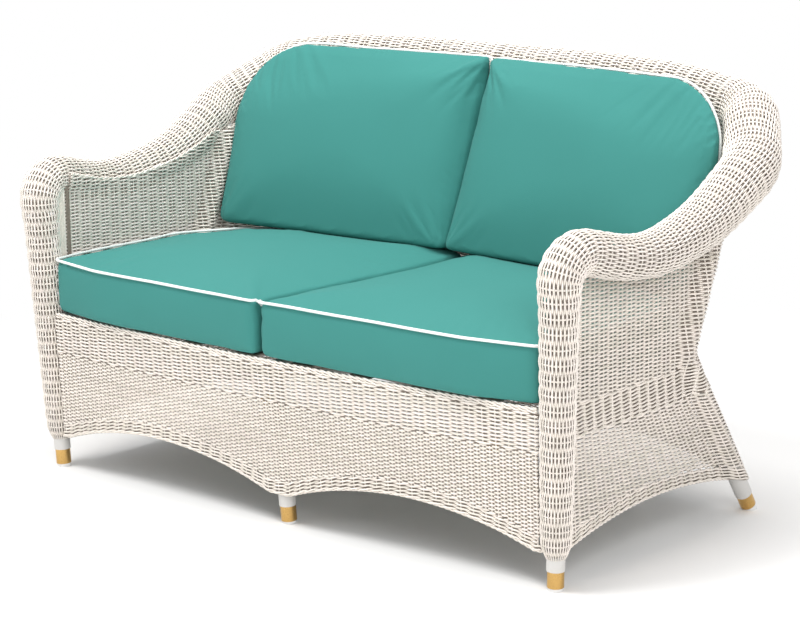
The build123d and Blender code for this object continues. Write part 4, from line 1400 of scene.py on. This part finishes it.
def makeFloor():
    # round floor that turns plain white for the camera away from the sofa and keeps its shadow near it
    radius, count = studio["floorRadius"], studio["floorPoints"]
    points = [(radius * math.cos(angle), radius * math.sin(angle), -studio["floorDrop"])
              for angle in np.linspace(0, 2 * math.pi, count, endpoint=False)]
    mesh = bpy.data.meshes.new("floor")
    mesh.from_pydata(points, [], [tuple(range(count))])
    material = bpy.data.materials.new("paleFloor")
    tree = nodesOf(material)
    matt = addNode(tree, "ShaderNodeBsdfDiffuse", {"Color": (*studio["floorTone"], 1)})
    glow = addNode(tree, "ShaderNodeEmission", {"Color": (1, 1, 1, 1)})
    coords = addNode(tree, "ShaderNodeTexCoord").outputs["Object"]
    distance = addNode(tree, "ShaderNodeVectorMath", {0: coords}, operation="LENGTH").outputs["Value"]
    fade = ranged(tree, distance, *studio["fade"], studio["floorGlow"], 1.0)
    mixedInto(tree, "ShaderNodeOutputMaterial", times(tree, seenDirectly(tree), fade), matt, glow)
    mesh.materials.append(material)
    newPiece("floor", mesh)


def makeWorld():
    scene.world = bpy.data.worlds.new("studioWorld")
    tree = nodesOf(scene.world)
    soft = addNode(tree, "ShaderNodeBackground", {"Color": (*studio["worldTone"], 1),
                                                  "Strength": studio["world"]})
    white = addNode(tree, "ShaderNodeBackground", {"Color": (1, 1, 1, 1)})
    mixedInto(tree, "ShaderNodeOutputWorld", seenDirectly(tree), soft, white)


def makeLamp(name, spot, size, power):
    data = bpy.data.lights.new(name, "AREA")
    data.shape = "DISK"
    data.size = size
    data.energy = power
    lamp = newPiece(name, data)
    lamp.location = spot
    lamp.rotation_euler = (Vector(studio["lampTarget"]) - Vector(spot)).to_track_quat("-Z", "Y").to_euler()


def makeCamera():
    azimuth, elevation, roll = studio["azimuth"], studio["elevation"], studio["roll"]
    backward = np.array([math.sin(azimuth) * math.cos(elevation), -math.cos(azimuth) * math.cos(elevation),
                         math.sin(elevation)])
    right = unit(np.cross(-backward, [0, 0, 1]))
    upward = np.cross(right, -backward)
    turnedRight = math.cos(roll) * right + math.sin(roll) * upward
    turnedUp = -math.sin(roll) * right + math.cos(roll) * upward
    data = bpy.data.cameras.new("viewer")
    data.sensor_fit = "HORIZONTAL"
    data.sensor_width = 36
    data.lens = studio["lens"]
    data.clip_end = 60
    camera = newPiece("viewer", data)
    spot = np.array(studio["target"]) + backward * studio["distance"]
    matrix = np.eye(4)
    matrix[:3, 0], matrix[:3, 1], matrix[:3, 2], matrix[:3, 3] = turnedRight, turnedUp, backward, spot
    camera.matrix_world = Matrix(matrix.tolist())
    scene.camera = camera


makeFloor()
makeWorld()
for lamp in studio["lamps"]:
    makeLamp(*lamp)
makeCamera()
scene.view_settings.view_transform = "Standard"
print("studio ready")
